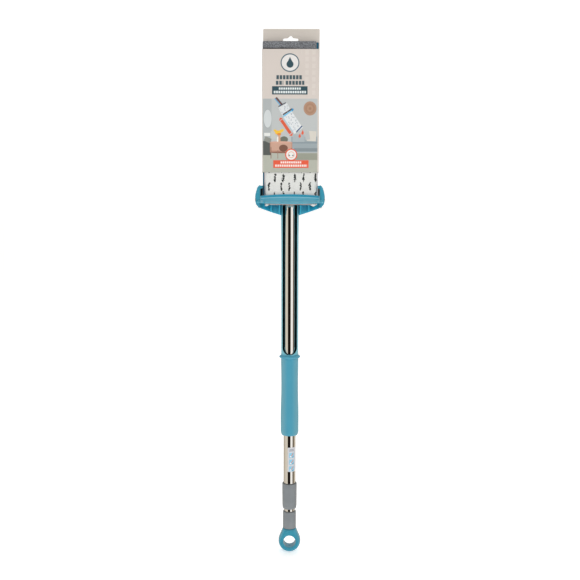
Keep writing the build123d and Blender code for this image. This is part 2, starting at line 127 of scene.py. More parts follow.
class Look(Nodes):
    # one material: its shader's fixed values, and what varies over the surface
    def __init__(self, name, colour, rough, **fixed):
        self.material = bpy.data.materials.new(name)
        self.material.use_nodes = True
        super().__init__(self.material.node_tree)
        self.shader = self.tree.nodes["Principled BSDF"]
        self.put("Base Color", colour)
        self.put("Roughness", rough)
        for socket, value in fixed.items():
            self.put(socket.replace("_", " "), value)

    def put(self, socket, value):
        self.wire(self.shader.inputs[socket], value)

    def spot(self, scale=(1, 1, 1)):
        place = self.node("ShaderNodeTexCoord", {}, {}, "Object")
        return self.node("ShaderNodeMapping", {}, {"Vector": place, "Scale": scale})

    def axes(self):
        # the place on the object as three numbers, in millimetres
        return [axis * 1000 for axis in self.split(self.spot())]

    def noise(self, scale, detail=3.0, vector=None):
        sockets = {"Vector": vector or self.spot(), "Scale": scale, "Detail": detail}
        return self.node("ShaderNodeTexNoise", {}, sockets)

    def cells(self, scale, randomness=0.9):
        sockets = {"Vector": self.spot(), "Scale": scale, "Randomness": randomness}
        return self.node("ShaderNodeTexVoronoi", {}, sockets)

    def loopShadeAndPatches(self, scale, loops=0.55, patches=0.35):
        # how deep a spot lies between a cloth's loops, which the looks paint as shade, and in its broad patches
        # of random tone
        return self.between(self.cells(scale), 0.1, 0.75) * loops + self.noise(60.0, 4.0) * patches

    def own(self, name):
        # a number that the piece carries on its points
        return self.node("ShaderNodeAttribute", {"attribute_name": name}, {}, "Fac")

    def bump(self, height, strength, depth):
        sockets = {"Height": height, "Strength": strength, "Distance": depth}
        self.put("Normal", self.node("ShaderNodeBump", {}, sockets))

    def patch(self, x, z, kind, cx, cz, wide, tall, turn=0.0, soft=0.12):
        # a plain shape's mask, 1 inside: half sizes wide and tall, turned clockwise in radians
        dx, dz = x - cx, z - cz
        if turn:
            cos, sin = math.cos(turn), math.sin(turn)
            dx, dz = dx * cos + dz * sin, dz * cos - dx * sin
        if kind == "disc":
            away = self.maths("SQRT", (dx / wide) ** 2 + (dz / tall) ** 2)
            return self.between(away, 1 + soft / wide, 1 - soft / wide)
        ends = self.between(dz if kind == "peak" else abs(dz), tall + soft, tall - soft)
        if kind == "peak":
            return self.between(abs(dx) / wide - dz / tall, soft / wide, -soft / wide) * ends
        return self.between(abs(dx), wide + soft, wide - soft) * ends


def paint(hexWord):
    # a screen colour in hex, as the linear colour that the shader wants
    rgb = np.array([int(hexWord[i:i + 2], 16) for i in (0, 2, 4)]) / 255
    return (*np.where(rgb <= 0.04045, rgb / 12.92, ((rgb + 0.055) / 1.055) ** 2.4), 1.0)


def gridFaces(rows, cols, loopRows=False, loopCols=False):
    # quads over a grid of points, row by row
    r, c = np.meshgrid(np.arange(rows - (not loopRows)), np.arange(cols - (not loopCols)), indexing="ij")
    nextR, nextC = (r + 1) % rows, (c + 1) % cols
    quads = [r * cols + c, r * cols + nextC, nextR * cols + nextC, nextR * cols + c]
    return np.stack(quads, -1).reshape(-1, 4)


def softLoop(corners, radii, steps=6):
    # a closed outline: each corner is cut back by its radius and bridged with a parabola
    c = np.array(corners, float)
    r = np.broadcast_to(np.array(radii, float), len(c))[:, None]
    back, ahead = np.roll(c, 1, 0) - c, np.roll(c, -1, 0) - c
    back /= np.linalg.norm(back, axis=1, keepdims=True)
    ahead /= np.linalg.norm(ahead, axis=1, keepdims=True)
    t = np.linspace(0, 1, steps)[None, :, None]
    a, b = (c + back * r)[:, None], (c + ahead * r)[:, None]
    return ((1 - t) ** 2 * a + 2 * t * (1 - t) * c[:, None] + t ** 2 * b).reshape(-1, 2)


def spaced(loop, count):
    # the same closed outline with its points at even steps along it
    ring = np.vstack([loop, loop[:1]])
    run = np.concatenate([[0], np.cumsum(np.linalg.norm(np.diff(ring, axis=0), axis=1))])
    at = np.linspace(0, run[-1], count, endpoint=False)
    return np.stack([np.interp(at, run, ring[:, i]) for i in range(2)], 1)


def through(points, count):
    # a smooth open curve through points: cubic pieces whose slope at a point joins its two neighbours
    p = np.array(points, float)
    run = np.concatenate([[0], np.cumsum(np.linalg.norm(np.diff(p, axis=0), axis=1))])
    slope = np.gradient(p, run, axis=0)
    at = np.linspace(0, run[-1], count)
    i = np.clip(np.searchsorted(run, at, "right") - 1, 0, len(p) - 2)
    span = (run[i + 1] - run[i])[:, None]
    t = (at - run[i])[:, None] / span
    start = (1 + 2 * t) * (1 - t) ** 2 * p[i] + t * (1 - t) ** 2 * span * slope[i]
    end = t ** 2 * (3 - 2 * t) * p[i + 1] + t ** 2 * (t - 1) * span * slope[i + 1]
    return start + end


def inward(loop):
    # unit normals of a counter-clockwise outline, pointing in
    along = np.roll(loop, -1, 0) - np.roll(loop, 1, 0)
    along /= np.maximum(np.linalg.norm(along, axis=1, keepdims=True), 1e-9)
    return np.stack([-along[:, 1], along[:, 0]], 1)


def signedArea(loop):
    x, y = loop.T
    return 0.5 * np.sum(x * np.roll(y, -1) - y * np.roll(x, -1))


planes = {"xy": (0, 1, 2), "xz": (0, 2, 1), "yz": (1, 2, 0)}


def prism(loop, low, high, edge=0.4, plane="xz", steps=4):
    # an outline carried from low to high across its plane, with both rims rounded
    loop = loop if signedArea(loop) > 0 else loop[::-1]
    turn = np.linspace(0, math.pi / 2, steps)
    inset = edge * (1 - np.sin(turn))
    depth = edge * (1 - np.cos(turn))
    insets = np.concatenate([inset, inset[::-1]])
    depths = np.concatenate([low + depth, high - depth[::-1]])
    flat = loop[None] + inward(loop)[None] * insets[:, None, None]
    points = np.zeros((len(depths), len(loop), 3))
    a, b, c = planes[plane]
    points[:, :, a], points[:, :, b] = flat[:, :, 0], flat[:, :, 1]
    points[:, :, c] = depths[:, None]
    return skin(points)


def turned(profile, segments=96):
    # a closed outline of (radius, height), turned about the handle's axis
    p = np.array(profile, float)
    a = np.linspace(0, 2 * math.pi, segments, endpoint=False)[:, None]
    height = np.broadcast_to(p[:, 1], (segments, len(p)))
    points = np.stack([p[:, 0] * np.cos(a), p[:, 0] * np.sin(a), height], -1)
    return points.reshape(-1, 3), gridFaces(*height.shape, True, True).tolist()


def boxLoop(x0, x1, z0, z1, edge, steps=6):
    return softLoop([(x0, z0), (x1, z0), (x1, z1), (x0, z1)], edge, steps)


def skin(sections, closed=True, capped=True):
    # outlines in space, one after another, joined into one closed shell
    points = np.array(sections, float)
    rows, cols = points.shape[:2]
    faces = gridFaces(rows, cols, loopCols=closed).tolist()
    if capped:
        faces += [list(range(cols))[::-1], list(range(rows * cols - cols, rows * cols))]
    return points.reshape(-1, 3), faces


def roundedBand(*limits, steps=5):
    # at every station a rectangle with round corners, as two arrays of its points. The limits are its low and
    # high side in the first direction, the same in the second, and the corners' radius
    turn = np.linspace(0, math.pi / 2, steps)
    near, far = 1 - np.cos(turn), 1 - np.sin(turn)
    low0, high0, low1, high1, edge = (limit[:, None] for limit in np.broadcast_arrays(*limits))
    a = np.hstack([low0 + edge * near, high0 - edge * far, high0 - edge * near, low0 + edge * far])
    b = np.hstack([low1 + edge * far, low1 + edge * near, high1 - edge * far, high1 - edge * near])
    return a, b


def wallStrip(path, low, high, thick, edge):
    # a wall along a plan path: a round-edged rectangle stands on every station, thick to its left
    path = np.array(path, float)
    along = np.gradient(path, axis=0)
    along /= np.linalg.norm(along, axis=1, keepdims=True)
    side = np.stack([-along[:, 1], along[:, 0]], 1)
    depth, height = roundedBand(np.zeros(len(path)), thick, low, high, edge)
    x = path[:, :1] + side[:, :1] * depth
    y = path[:, 1:] + side[:, 1:] * depth
    return skin(np.stack([x, y, height], -1))


def softNoise(shape, cells, seed):
    # smooth noise over a grid, about -1 to 1: random values on a coarse lattice, eased between
    lattice = np.random.default_rng(seed).uniform(-1, 1, (cells[0] + 2, cells[1] + 2))

    def weights(count, size):
        at = np.linspace(0, size, count)
        low = np.floor(at).astype(int)
        t = at - low
        t = t * t * (3 - 2 * t)
        w = np.zeros((count, size + 2))
        w[np.arange(count), low] = 1 - t
        w[np.arange(count), low + 1] = t
        return w

    return weights(shape[0], cells[0]) @ lattice @ weights(shape[1], cells[1]).T


def addPiece(name, parts, look, body, stands=(), slot=None, crease=34, **numbers):
    # joins the parts, given in millimetres, into one object that rides on a body; a look can read its numbers
    points, faces, start = [], [], 0
    for partPoints, partFaces in parts:
        points.append(partPoints)
        faces += [[i + start for i in face] for face in partFaces]
        start += len(partPoints)
    mesh = bpy.data.meshes.new(name)
    mesh.from_pydata((np.concatenate(points) * mm).tolist(), [], faces)
    piece = bpy.data.objects.new(name, mesh)
    bpy.context.scene.collection.objects.link(piece)
    for number, values in numbers.items():
        layer = mesh.attributes.new(number, "FLOAT", "POINT")
        layer.data.foreach_set("value", np.ascontiguousarray(values, float).reshape(-1))
    smooth(mesh, crease)
    mesh.materials.append(look.material)
    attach(piece, body)
    if stands:
        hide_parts(*stands)
    return piece


def smooth(mesh, crease):
    # points every face outwards and shades smooth up to the crease angle
    work = bmesh.new()
    work.from_mesh(mesh)
    bmesh.ops.remove_doubles(work, verts=work.verts, dist=1e-7)
    bmesh.ops.recalc_face_normals(work, faces=work.faces)
    work.to_mesh(mesh)
    work.free()
    mesh.polygons.foreach_set("use_smooth", np.ones(len(mesh.polygons), bool))
    mesh.set_sharp_from_angle(angle=math.radians(crease))


def drill(piece, parts, crease=34):
    # cuts the given closed shells out of a piece
    tool = addPiece("drillTool", parts, plainTool, "pole")
    cut = piece.modifiers.new("cut", "BOOLEAN")
    cut.object = tool
    cut.solver = "EXACT"
    graph = bpy.context.evaluated_depsgraph_get()
    mesh = bpy.data.meshes.new_from_object(piece.evaluated_get(graph))
    piece.modifiers.clear()
    piece.data = mesh
    bpy.data.objects.remove(tool)
    smooth(mesh, crease)


def finishNodes(nodes, look):
    # a finish for CAD nodes that stay as they are
    for node in nodes:
        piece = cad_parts[node]
        piece.data.materials.clear()
        piece.data.materials.append(look.material)


def nodeBox(node):
    # a CAD node's lowest and highest corners, in millimetres
    low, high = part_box(node)
    return np.array(low) / mm, np.array(high) / mm


def radiusOf(node):
    return nodeBox(node)[1][0]


view = {"aim": 529.0, "distance": 1640.0, "tilt": 5.3, "roll": -0.1, "side": 0.1, "focal": 800.0,
        "frame": 580.0, "sensor": 36.0}


def setCamera():
    tilt = math.radians(view["tilt"])
    data = bpy.data.cameras.new("camera")
    data.lens = view["sensor"] * view["focal"] / view["frame"]
    data.clip_end = 50
    camera = bpy.data.objects.new("camera", data)
    bpy.context.scene.collection.objects.link(camera)
    camera.location = (view["side"] * mm, -view["distance"] * math.cos(tilt) * mm,
                       (view["aim"] + view["distance"] * math.sin(tilt)) * mm)
    camera.rotation_euler = (math.pi / 2 - tilt, math.radians(view["roll"]), 0)
    bpy.context.scene.camera = camera


backdrop = {"halfWidth": 9.0, "front": -9.0, "turn": 3.0, "radius": 1.6, "height": 9.0, "glow": 0.42}


def setFloor():
    # one large pale sheet that turns up behind into a backdrop: flat, a quarter circle, then upright
    look = Look("paleFloor", "f7f7f6", 0.8, Emission_Color="ffffff", Emission_Strength=backdrop["glow"])
    look.put("Base Color", look.mix(look.noise(180.0, 2.0) * 0.35, "f8f8f7", "f2f2f0"))
    a = np.linspace(0, math.pi / 2, 14)
    turn, radius = backdrop["turn"], backdrop["radius"]
    flat = np.linspace(backdrop["front"], turn, 10)[:-1]
    run = np.concatenate([flat, turn + radius * np.sin(a), [turn + radius]])
    rise = np.concatenate([0 * flat, radius * (1 - np.cos(a)), [backdrop["height"]]])
    x, y = np.meshgrid(np.linspace(-1, 1, 9) * backdrop["halfWidth"], run)
    points = np.stack([x, y, np.broadcast_to((rise + cadBox[0][2])[:, None], x.shape)], -1).reshape(-1, 3)
    mesh = bpy.data.meshes.new("floor")
    mesh.from_pydata(points.tolist(), [], gridFaces(*x.shape).tolist())
    mesh.polygons.foreach_set("use_smooth", np.ones(len(mesh.polygons), bool))
    mesh.materials.append(look.material)
    floor = bpy.data.objects.new("floor", mesh)
    bpy.context.scene.collection.objects.link(floor)
    floor.visible_glossy = False


lamps = {
    "key": {"at": (1.5, -2.2, 2.3), "size": (1.6, 1.6), "power": 21, "tint": "fffaf2"},
    "fill": {"at": (-2.2, -1.8, 1.2), "size": (1.6, 2.0), "power": 12, "tint": "f6faff"},
    "front": {"at": (0.3, -3.2, 1.1), "size": (1.4, 1.4), "power": 12, "tint": "ffffff"},
    "back": {"at": (0.4, 2.0, 2.2), "size": (2.4, 1.2), "power": 13, "tint": "ffffff"},
}


def setLamps():
    for name, lamp in lamps.items():
        data = bpy.data.lights.new(name, "AREA")
        data.shape = "RECTANGLE"
        data.size, data.size_y = lamp["size"]
        data.energy = lamp["power"]
        data.color = paint(lamp["tint"])[:3]
        light = bpy.data.objects.new(name, data)
        bpy.context.scene.collection.objects.link(light)
        light.location = lamp["at"]
        aim = np.array((0, 0, 0.55)) - np.array(lamp["at"])
        light.rotation_euler = (math.atan2(math.hypot(aim[0], aim[1]), -aim[2]), 0,
                                math.atan2(aim[1], aim[0]) - math.pi / 2)
        light.visible_glossy = False


# what polished parts mirror, by compass angle from the front, to the right: (degrees, colour)
studio = [(-180, "b0a89c"), (-128, "b4ac9f"), (-112, "c9c1b4"), (-42, "e0dacd"), (-33, "1d130d"),
          (14, "130d09"), (22, "fbfaf7"), (57, "ffffff"), (65, "54463a"), (84, "6b5d4e"),
          (98, "a39a8b"), (110, "d0c8bb"), (180, "b0a89c")]
soft = {"colour": "fbfbfa", "strength": 0.44, "ceiling": "f2f4f5", "ceilingFrom": 0.6, "ceilingTo": 0.9,
        "mirror": 1.18}


def setWorld():
    # the camera sees white; gloss sees the studio's upright panels and pale ceiling; the rest is soft light
    world = bpy.data.worlds.new("studio")
    bpy.context.scene.world = world
    world.use_nodes = True
    world.node_tree.nodes.clear()
    sky = Nodes(world.node_tree)
    x, y, z = sky.split(sky.node("ShaderNodeTexCoord", {}, {}, "Generated"))
    compass = sky.maths("ARCTAN2", x, y * -1.0)
    bands = sky.node("ShaderNodeValToRGB", {}, {0: compass * (0.5 / math.pi) + 0.5})
    stops = bands.socket.node.color_ramp.elements
    while len(stops) < len(studio):
        stops.new(0.5)
    for stop, (angle, colour) in zip(stops, studio):
        stop.position = (angle + 180) / 360
        stop.color = paint(colour)
    above = sky.between(abs(z), soft["ceilingFrom"], soft["ceilingTo"])
    rays = sky.node("ShaderNodeLightPath", {}, {}).socket.node.outputs
    light = sky.node("ShaderNodeBackground", {}, {0: soft["colour"], 1: soft["strength"]})
    for ray, colour, strength in (("Is Glossy Ray", sky.mix(above, bands, soft["ceiling"]), soft["mirror"]),
                                  ("Is Camera Ray", "ffffff", 1.0)):
        seen = sky.node("ShaderNodeBackground", {}, {0: colour, 1: strength})
        light = sky.node("ShaderNodeMixShader", {}, {0: Number(sky, rays[ray]), 1: light, 2: seen})
    out = sky.tree.nodes.new("ShaderNodeOutputWorld")
    sky.wire(out.inputs[0], light)
    bpy.context.scene.view_settings.view_transform = "Standard"


setCamera()
setFloor()
setLamps()
setWorld()
print("camera, floor and light set")


def moulded(name, colour, shade, rough, grain=0.12, **fixed):
    # moulded plastic: a faint cloudiness in the colour and a fine eggshell surface
    look = Look(name, colour, rough, **fixed)
    cloud = look.noise(38.0, 4.0)
    look.put("Base Color", look.mix(look.between(cloud, 0.3, 0.7), colour, shade))
    look.put("Roughness", look.between(look.noise(90.0, 2.0), 0.2, 0.8, rough - 0.03, rough + 0.05))
    look.bump(look.noise(2600.0, 1.0), grain, 0.0002)
    return look


def polished():
    # plated steel tube: faint drawing lines along it and a few smears
    look = Look("chromeTube", "d9d5cf", 0.06, Metallic=1.0)
    lines = look.noise(900.0, 2.0, look.spot((1, 1, 0.02)))
    smears = look.noise(24.0, 4.0, look.spot((1, 1, 0.35)))
    look.put("Roughness", look.between(smears, 0.35, 0.75, 0.035, 0.075))
    look.put("Base Color", look.mix(look.between(lines, 0.35, 0.65) * 0.5, "e4e1dc", "d8d4cd"))
    look.bump(lines, 0.012, 0.0001)
    return look


channel = {"boss": 3.35, "play": 0.2, "slotCentre": 15.8, "lip": 1.1, "arc": 44, "slotTurns": 30, "length": 60,
           "walls": [(0, 3.25), (9.5, 2.75), (60, 2.55), (200, 2.6), (245, 2.9), (279, 3.4), (321.3, 3.4)]}


def channelLook():
    # the shell's plastic, with painted shade over the channel's deep inside and a painted highlight, pale teal,
    # along its slot's lips
    look = moulded("channelTeal", "3f9bb4", "3794ae", 0.30, 0.05, Coat_Weight=0.25, Coat_Roughness=0.12)
    low, high = nodeBox("wringer_channel")
    bore, slot = high[1] - channel["boss"], low[2] + channel["slotCentre"]
    x, y, z = look.axes()
    away = look.maths("SQRT", x * x + y * y)
    # painted shade: the bore, and the faces inside the slot above its round end, go near black
    slotShade = look.between(y, 0.2, -0.8) * look.between(z, slot - 1, slot + 1)
    deep = look.maths("MAXIMUM", look.between(away, bore + 0.45, bore + 0.1), slotShade)
    # painted highlight: the lips' front is mixed towards pale teal, faint below the slot's round end
    rim = look.between(y, 0.5, -3.0) * look.between(z, slot - 16, slot - 11, 0.15, 1.0)
    colour = look.mix(rim, look.mix(look.noise(38.0, 4.0), "3f9bb4", "3794ae"), "74bccc")
    look.put("Base Color", look.mix(look.between(abs(x), bore + 0.05, bore - 0.2) * deep, colour, "08181e"))
    return look


def shellLook():
    # the frame's plastic, with painted light that makes its wide dish, in shade under the bar, paler than its
    # ears, and painted shade deep beside the pad
    look = moulded("tealShell", "2f93ad", "2a8ca7", 0.36, 0.05, Coat_Weight=0.15, Coat_Roughness=0.2)
    x, y, z = look.axes()
    out, lift, cloud = abs(x), z - nodeBox("wringer_frame")[0][2], look.noise(38.0, 4.0)
    # painted light: the dish is mixed towards a paler teal than the ears
    paintedDishLight = look.between(out, 58.0, 52.0) * look.between(lift, 34, 26)
    colour = look.mix(paintedDishLight, look.mix(cloud, "2f93ad", "2a8ca7"), look.mix(cloud, "33b2d0", "2eaaca"))
    # painted shade: the posts and the ears' inner sides in the recess beside the pad go near black
    beside = look.between(out, 60.5, 59.5) * look.between(out, 50.5, 52.0)
    deep = look.between(y, -9.0, -10.5) * look.between(y, -24.0, -22.0) * look.between(lift, 30, 33)
    look.put("Base Color", look.mix(beside * deep, colour, "0e2b34"))
    return look


def barLook():
    # glossy plastic: darker above the ridge, a painted reflection that grows paler down the apron, and painted
    # highlight lines along its edges
    look = moulded("tealBar", "2f9dbb", "2a97b6", 0.14, 0.03, Coat_Weight=0.8, Coat_Roughness=0.04)
    fall = look.own("fall")
    # painted reflection: the apron grows paler with the piece's fall value, darker above the ridge
    face = look.mix(look.between(fall, 0.0, 0.12), "2494b6", look.mix(fall, "38a3c1", "5ab6cf"))
    face = look.mix(look.noise(38.0, 4.0) * 0.3, face, "2a8ca8")
    # painted highlight: pale lines where the piece's own highlight numbers are high
    look.put("Base Color", look.mix(look.own("shine") * 0.8, face, "9ad6e4"))
    return look


def gripLook():
    # soft plastic, with a painted sheen that makes its left and right sides paler and greyer than its more
    # saturated middle
    look = moulded("softGrip", "4b9bb3", "4797b0", 0.62, 0.35, Sheen_Weight=0.15, Sheen_Roughness=0.4)
    # painted sheen: the sides, by distance across the front, are mixed towards a paler grey teal
    side = look.between(abs(look.axes()[0]), 3.0, 15.0)
    look.put("Base Color", look.mix(side, look.mix(look.noise(38.0, 4.0), "459ab4", "4095b0"), "63a2b4"))
    return look


def plated():
    look = Look("platedSteel", "b9bcc0", 0.28, Metallic=1.0)
    look.put("Roughness", look.between(look.noise(300.0, 3.0), 0.3, 0.7, 0.2, 0.36))
    look.bump(look.noise(1500.0, 2.0), 0.08, 0.0001)
    return look


def clothLook(name, colour, shade, scale, sheen, depth=0.0006):
    # cloth: loops as fine cells, lighter on top and with painted shade between them
    look = Look(name, colour, 0.92, Sheen_Weight=sheen, Sheen_Roughness=0.5)
    look.put("Base Color", look.mix(look.loopShadeAndPatches(scale), colour, shade))
    look.bump(1 - look.cells(scale) + look.noise(60.0, 4.0) * 0.5, 0.6, depth)
    return look


def terryLook():
    # grey loops, in shade where they meet the card's edge
    look = clothLook("terryGrey", "9b9ea3", "3b3d41", 430.0, 0.3, 0.0009)
    x, y, z = look.axes()
    edge = z - nodeBox("far_pocket")[1][2] + card["frontDrop"]
    shade = look.between(edge, 5.0, 1.5) * look.between(x, 40.0, -20.0) * 0.85
    look.put("Base Color", look.mix(shade, look.mix(look.loopShadeAndPatches(430.0), "9b9ea3", "3b3d41"), "1c1d20"))
    return look


def pileLook():
    # microfibre pile: white loops, and dark yarn where the piece's own dash value is high
    look = Look("padWhite", "e6e7e4", 0.92, Sheen_Weight=0.25, Sheen_Roughness=0.5)
    loops = look.cells(900.0)
    # painted shade: both the white pile and the dark yarn go darker in the gaps between the loops
    white = look.mix(look.loopShadeAndPatches(900.0, 0.45, 0.2), "ecece9", "cfd0cd")
    dark = look.mix(look.between(loops, 0.1, 0.7), "343937", "14191a")
    look.put("Base Color", look.mix(look.between(look.own("dash"), 0.3, 0.6), white, dark))
    look.bump(1 - loops + look.noise(60.0, 4.0) * 0.5, 0.6, 0.0006)
    return look


card = {"board": 0.5, "fold": 1.3, "slotHalf": 20.0, "slotRise": 6.0, "skew": 1.4, "frontDrop": 17.4,
        "printTall": 233.3, "corner": 2.0, "euroHalf": 15.0, "euroLow": 0.1, "euroShoulder": 6.4,
        "euroApex": 11.8, "noseHalf": 5.0}
plainTool = Look("plainTool", "808080", 0.5)
chrome, steel = polished(), plated()
channelTeal, tealShell, tealBar, softGrip = channelLook(), shellLook(), barLook(), gripLook()
tealEye = moulded("tealEye", "3a97b0", "3591ab", 0.24, 0.05, Coat_Weight=0.5, Coat_Roughness=0.1)
ringTeal = moulded("ringTeal", "4fa2bb", "4a9db7", 0.4, 0.08)
darkTeal = moulded("darkTeal", "0f5c77", "0d556e", 0.38, 0.10)
greyPlastic = moulded("greyPlastic", "868b8f", "7e8387", 0.46, 0.14)
whitePlastic = moulded("whitePlastic", "e6e5df", "dddcd5", 0.40, 0.08)
blackRubber = moulded("blackRubber", "262729", "1f2022", 0.60, 0.25)
padFelt = clothLook("padFelt", "d2cfcb", "b3afab", 700.0, 0.1)
bindingLook = clothLook("bindingTape", "a39a99", "857c7b", 900.0, 0.1, 0.0003)
seamThread = clothLook("seamThread", "cfcbd4", "a9a4b1", 1100.0, 0.1, 0.0003)
terryGrey, padWhite = terryLook(), pileLook()
finishNodes(["lock_plug", "lock_expander", "collar_bush", "swivel_washer", "lower_bush", "upper_bush"],
            whitePlastic)
finishNodes(["friction_ring", "scraper_lip"], blackRubber)
finishNodes(["plug_rivet", "swivel_screw", "hinge_pin", "bracket_screws"], steel)
finishNodes(["swivel_plug", "swivel_yoke", "hinge_bracket"], darkTeal)
print("finishes made")


eye = {"hole": 12.6, "square": (2.6, 11.0), "rounds": 132, "sections": 44, "drain": 1.4, "plug": 12.4,
       "plugDeep": 9.0, "foot": 0.5}


def hangEye():
    # ring and neck. Towards every angle the outline is the ring's circle, or the flank that is tangent to
    # it and runs up to the sleeve's foot, or the neck's flat top. From the hole to that outline the section
    # is a superellipse: middle + half * sign(cos) |cos|^(2/n), and the same with sin for its thickness,
    # with n large on the hole's side, so that the bore is straight.
    low, high = nodeBox("hang_eye")
    radius, half, top = -low[2], high[1], nodeBox("end_sleeve")[0][2]
    foot = radiusOf("end_sleeve") - eye["foot"]
    lean = math.atan2(top, foot) - math.acos(radius / math.hypot(foot, top))
    a = np.linspace(0, 2 * math.pi, eye["rounds"], endpoint=False)
    steep = np.arctan2(np.sin(a), np.abs(np.cos(a)))
    flank = np.minimum(radius / np.cos(np.maximum(steep - lean, 0)), top / np.maximum(np.sin(steep), 0.01))
    outline = np.where(steep > lean, flank, radius)[:, None]
    t = np.linspace(0, 2 * math.pi, eye["sections"], endpoint=False)
    power = 2 / np.where(np.cos(t) > 0, *eye["square"])
    across = np.sign(np.cos(t)) * np.abs(np.cos(t)) ** power
    deep = half * np.sign(np.sin(t)) * np.abs(np.sin(t)) ** power
    reach = (outline + eye["hole"]) / 2 + (outline - eye["hole"]) / 2 * across
    turn = a[:, None]
    points = np.stack([reach * np.cos(turn), np.broadcast_to(deep, reach.shape), reach * np.sin(turn)], -1)
    ring = (points.reshape(-1, 3), gridFaces(eye["rounds"], eye["sections"], True, True).tolist())
    plug = turned(boxLoop(0.2, eye["plug"], top - eye["plugDeep"], top + 0.6, 0.1), 64)
    piece = addPiece("hangEye", [ring, plug], tealEye, "handle_end", ["hang_eye"], "teal_eye")
    drain = [(0.01, low[2] - 2), (eye["drain"], low[2] - 2), (eye["drain"], -9.0), (0.01, -9.0)]
    drill(piece, [turned(drain, 24)])


collar = {"endRim": 0.9, "play": 0.3, "floor": 2.5, "funnel": 1.3}


def greySleeves():
    # the sleeve over the eye's neck, and the lock collar: turned profiles with soft rims
    low, high = nodeBox("end_sleeve")
    bore, tube = radiusOf("inner_tube"), radiusOf("outer_tube")
    loop = boxLoop(bore, high[0], low[2], high[2], [0.2, 0.4, collar["endRim"], 0.4])
    addPiece("endSleeve", [turned(loop)], greyPlastic, "handle_end", ["end_sleeve"], "grey_plastic")
    low, high = nodeBox("twist_collar")
    out, foot, top, mouth = high[0], low[2], high[2], bore + collar["play"]
    loop = softLoop([(mouth, foot), (out - 1.6, foot), (out - 0.5, foot + 5.4), (out - 0.1, foot + 30),
                     (out, top), (tube + collar["funnel"], top), (tube, top - 1.6),
                     (tube, foot + collar["floor"]), (mouth, foot + collar["floor"])],
                    [0.3, 0.8, 2.0, 3.0, 0.5, 0.3, 0.2, 0.2, 0.2])
    addPiece("twistCollar", [turned(loop, 120)], greyPlastic, "pole", ["twist_collar"], "grey_plastic")


tubes = {"inner_tube": ("innerTube", "handle_end", 0.6), "outer_tube": ("outerTube", "pole", 0.5)}


def handleTubes():
    # two thin tubes with rolled ends
    for node, (name, body, wall) in tubes.items():
        low, high = nodeBox(node)
        loop = boxLoop(high[0] - wall, high[0], low[2], high[2], 0.15, 4)
        addPiece(name, [turned(loop, 160)], chrome, body, [node], "chrome_tube")


grip = {"walls": [(2.2, 1.9), (5.0, 2.7), (15.3, 3.05), (34.3, 3.2), (54.3, 3.05), (73.3, 2.5), (114.3, 2.1),
                  (153.3, 2.55), (161.0, 2.6)], "foot": [(0, 0.3), (0.5, 0), (1.1, 0.25), (1.6, 1.2)],
        "ring": 6.7, "ringWide": 3.35, "play": 0.9}


def gripAndRing():
    # the grip's waisted outline is a smooth curve through its walls; below it the foot turns under
    low, high = nodeBox("grip")
    bore = radiusOf("slide_sleeve") - grip["ring"]
    outline = through([(lift, wall) for lift, wall in grip["walls"]], 70)[:, ::-1]
    outside = np.vstack([grip["foot"], outline]) + (bore, low[2])
    profile = np.vstack([outside, [(bore, high[2])]])
    addPiece("grip", [turned(profile, 128)], softGrip, "wringer", ["grip"], "soft_grip")
    low, high = nodeBox("slide_sleeve")
    tube, boss = radiusOf("outer_tube") + grip["play"], radiusOf("wringer_channel")
    mid, half, rim = high[2] - grip["ring"] / 2, grip["ringWide"], high[0] - 0.3
    ring = softLoop([(tube, low[2]), (bore, low[2]), (bore, mid - half), (boss, mid - half), (rim, mid - 0.9),
                     (rim, mid + 0.9), (boss, mid + half), (tube, mid + half)],
                    [0.2, 0.3, 0.1, 0.9, 0.7, 0.7, 1.2, 0.3], 5)
    addPiece("slideSleeve", [turned(ring, 128)], ringTeal, "wringer", ["slide_sleeve"], "teal_shell")


def wringerChannel():
    # a long C, open to the front: at each height an outer arc, a round lip, an inner arc and the other lip.
    # The slot starts as a half circle, half-width = slot * sin(turn), and then keeps its full width.
    low, high = nodeBox("wringer_channel")
    centre = low[2] + channel["slotCentre"]
    bore = high[1] - channel["boss"]
    slot, lip, length = bore - channel["play"], channel["lip"], channel["length"]
    turn = np.linspace(0.02, math.pi / 2, channel["slotTurns"])
    z = np.concatenate([centre - slot * np.cos(turn), np.linspace(centre + 6, high[2], length)])
    half = np.concatenate([slot * np.sin(turn), np.full(length, slot)])[:, None]
    outer = bore + np.interp(z - low[2], *np.array(channel["walls"]).T)[:, None]

    def arc(radius, start, share):
        # from one side of the slot round the back to the other: start is the angle from the front
        angle = start + (2 * math.pi - 2 * start) * share - math.pi / 2
        return radius * np.stack([np.cos(angle), np.sin(angle)], -1)

    def bridge(a, b, sign):
        # three points of the round lip between two arcs' ends
        depth = np.sqrt(np.maximum(outer ** 2 - half ** 2, 1))
        corner = np.hstack([sign * (half + 0.02), 0.1 - depth])[:, None]
        t = np.array([0.25, 0.5, 0.75])[None, :, None]
        return (1 - t) ** 2 * a[:, None] + 2 * t * (1 - t) * corner + t ** 2 * b[:, None]

    share = np.linspace(0, 1, channel["arc"])
    outerStart = np.arcsin(np.minimum((half + lip * 0.15) / outer, 1)) + lip / outer * 0.6
    outside = arc(outer[:, :, None], outerStart, share)
    inside = arc(bore, np.arcsin(np.minimum(half / bore, 1)), share)[:, ::-1]
    leftLip = bridge(outside[:, -1], inside[:, 0], -1)
    rightLip = bridge(outside[:, 0], inside[:, -1], 1)[:, ::-1]
    loops = np.concatenate([outside, leftLip, inside, rightLip], 1)
    points = np.concatenate([loops, np.broadcast_to(z[:, None, None], (*loops.shape[:2], 1))], -1)
    top = centre - slot + 0.5
    foot = softLoop([(bore, low[2]), (high[0], low[2]), (outer[0, 0] + 0.15, top), (bore, top)],
                    [0.3, 0.5, 0.2, 0.2])
    addPiece("wringerChannel", [skin(points), turned(foot, 128)], channelTeal, "wringer", ["wringer_channel"],
             "teal_shell", 40)


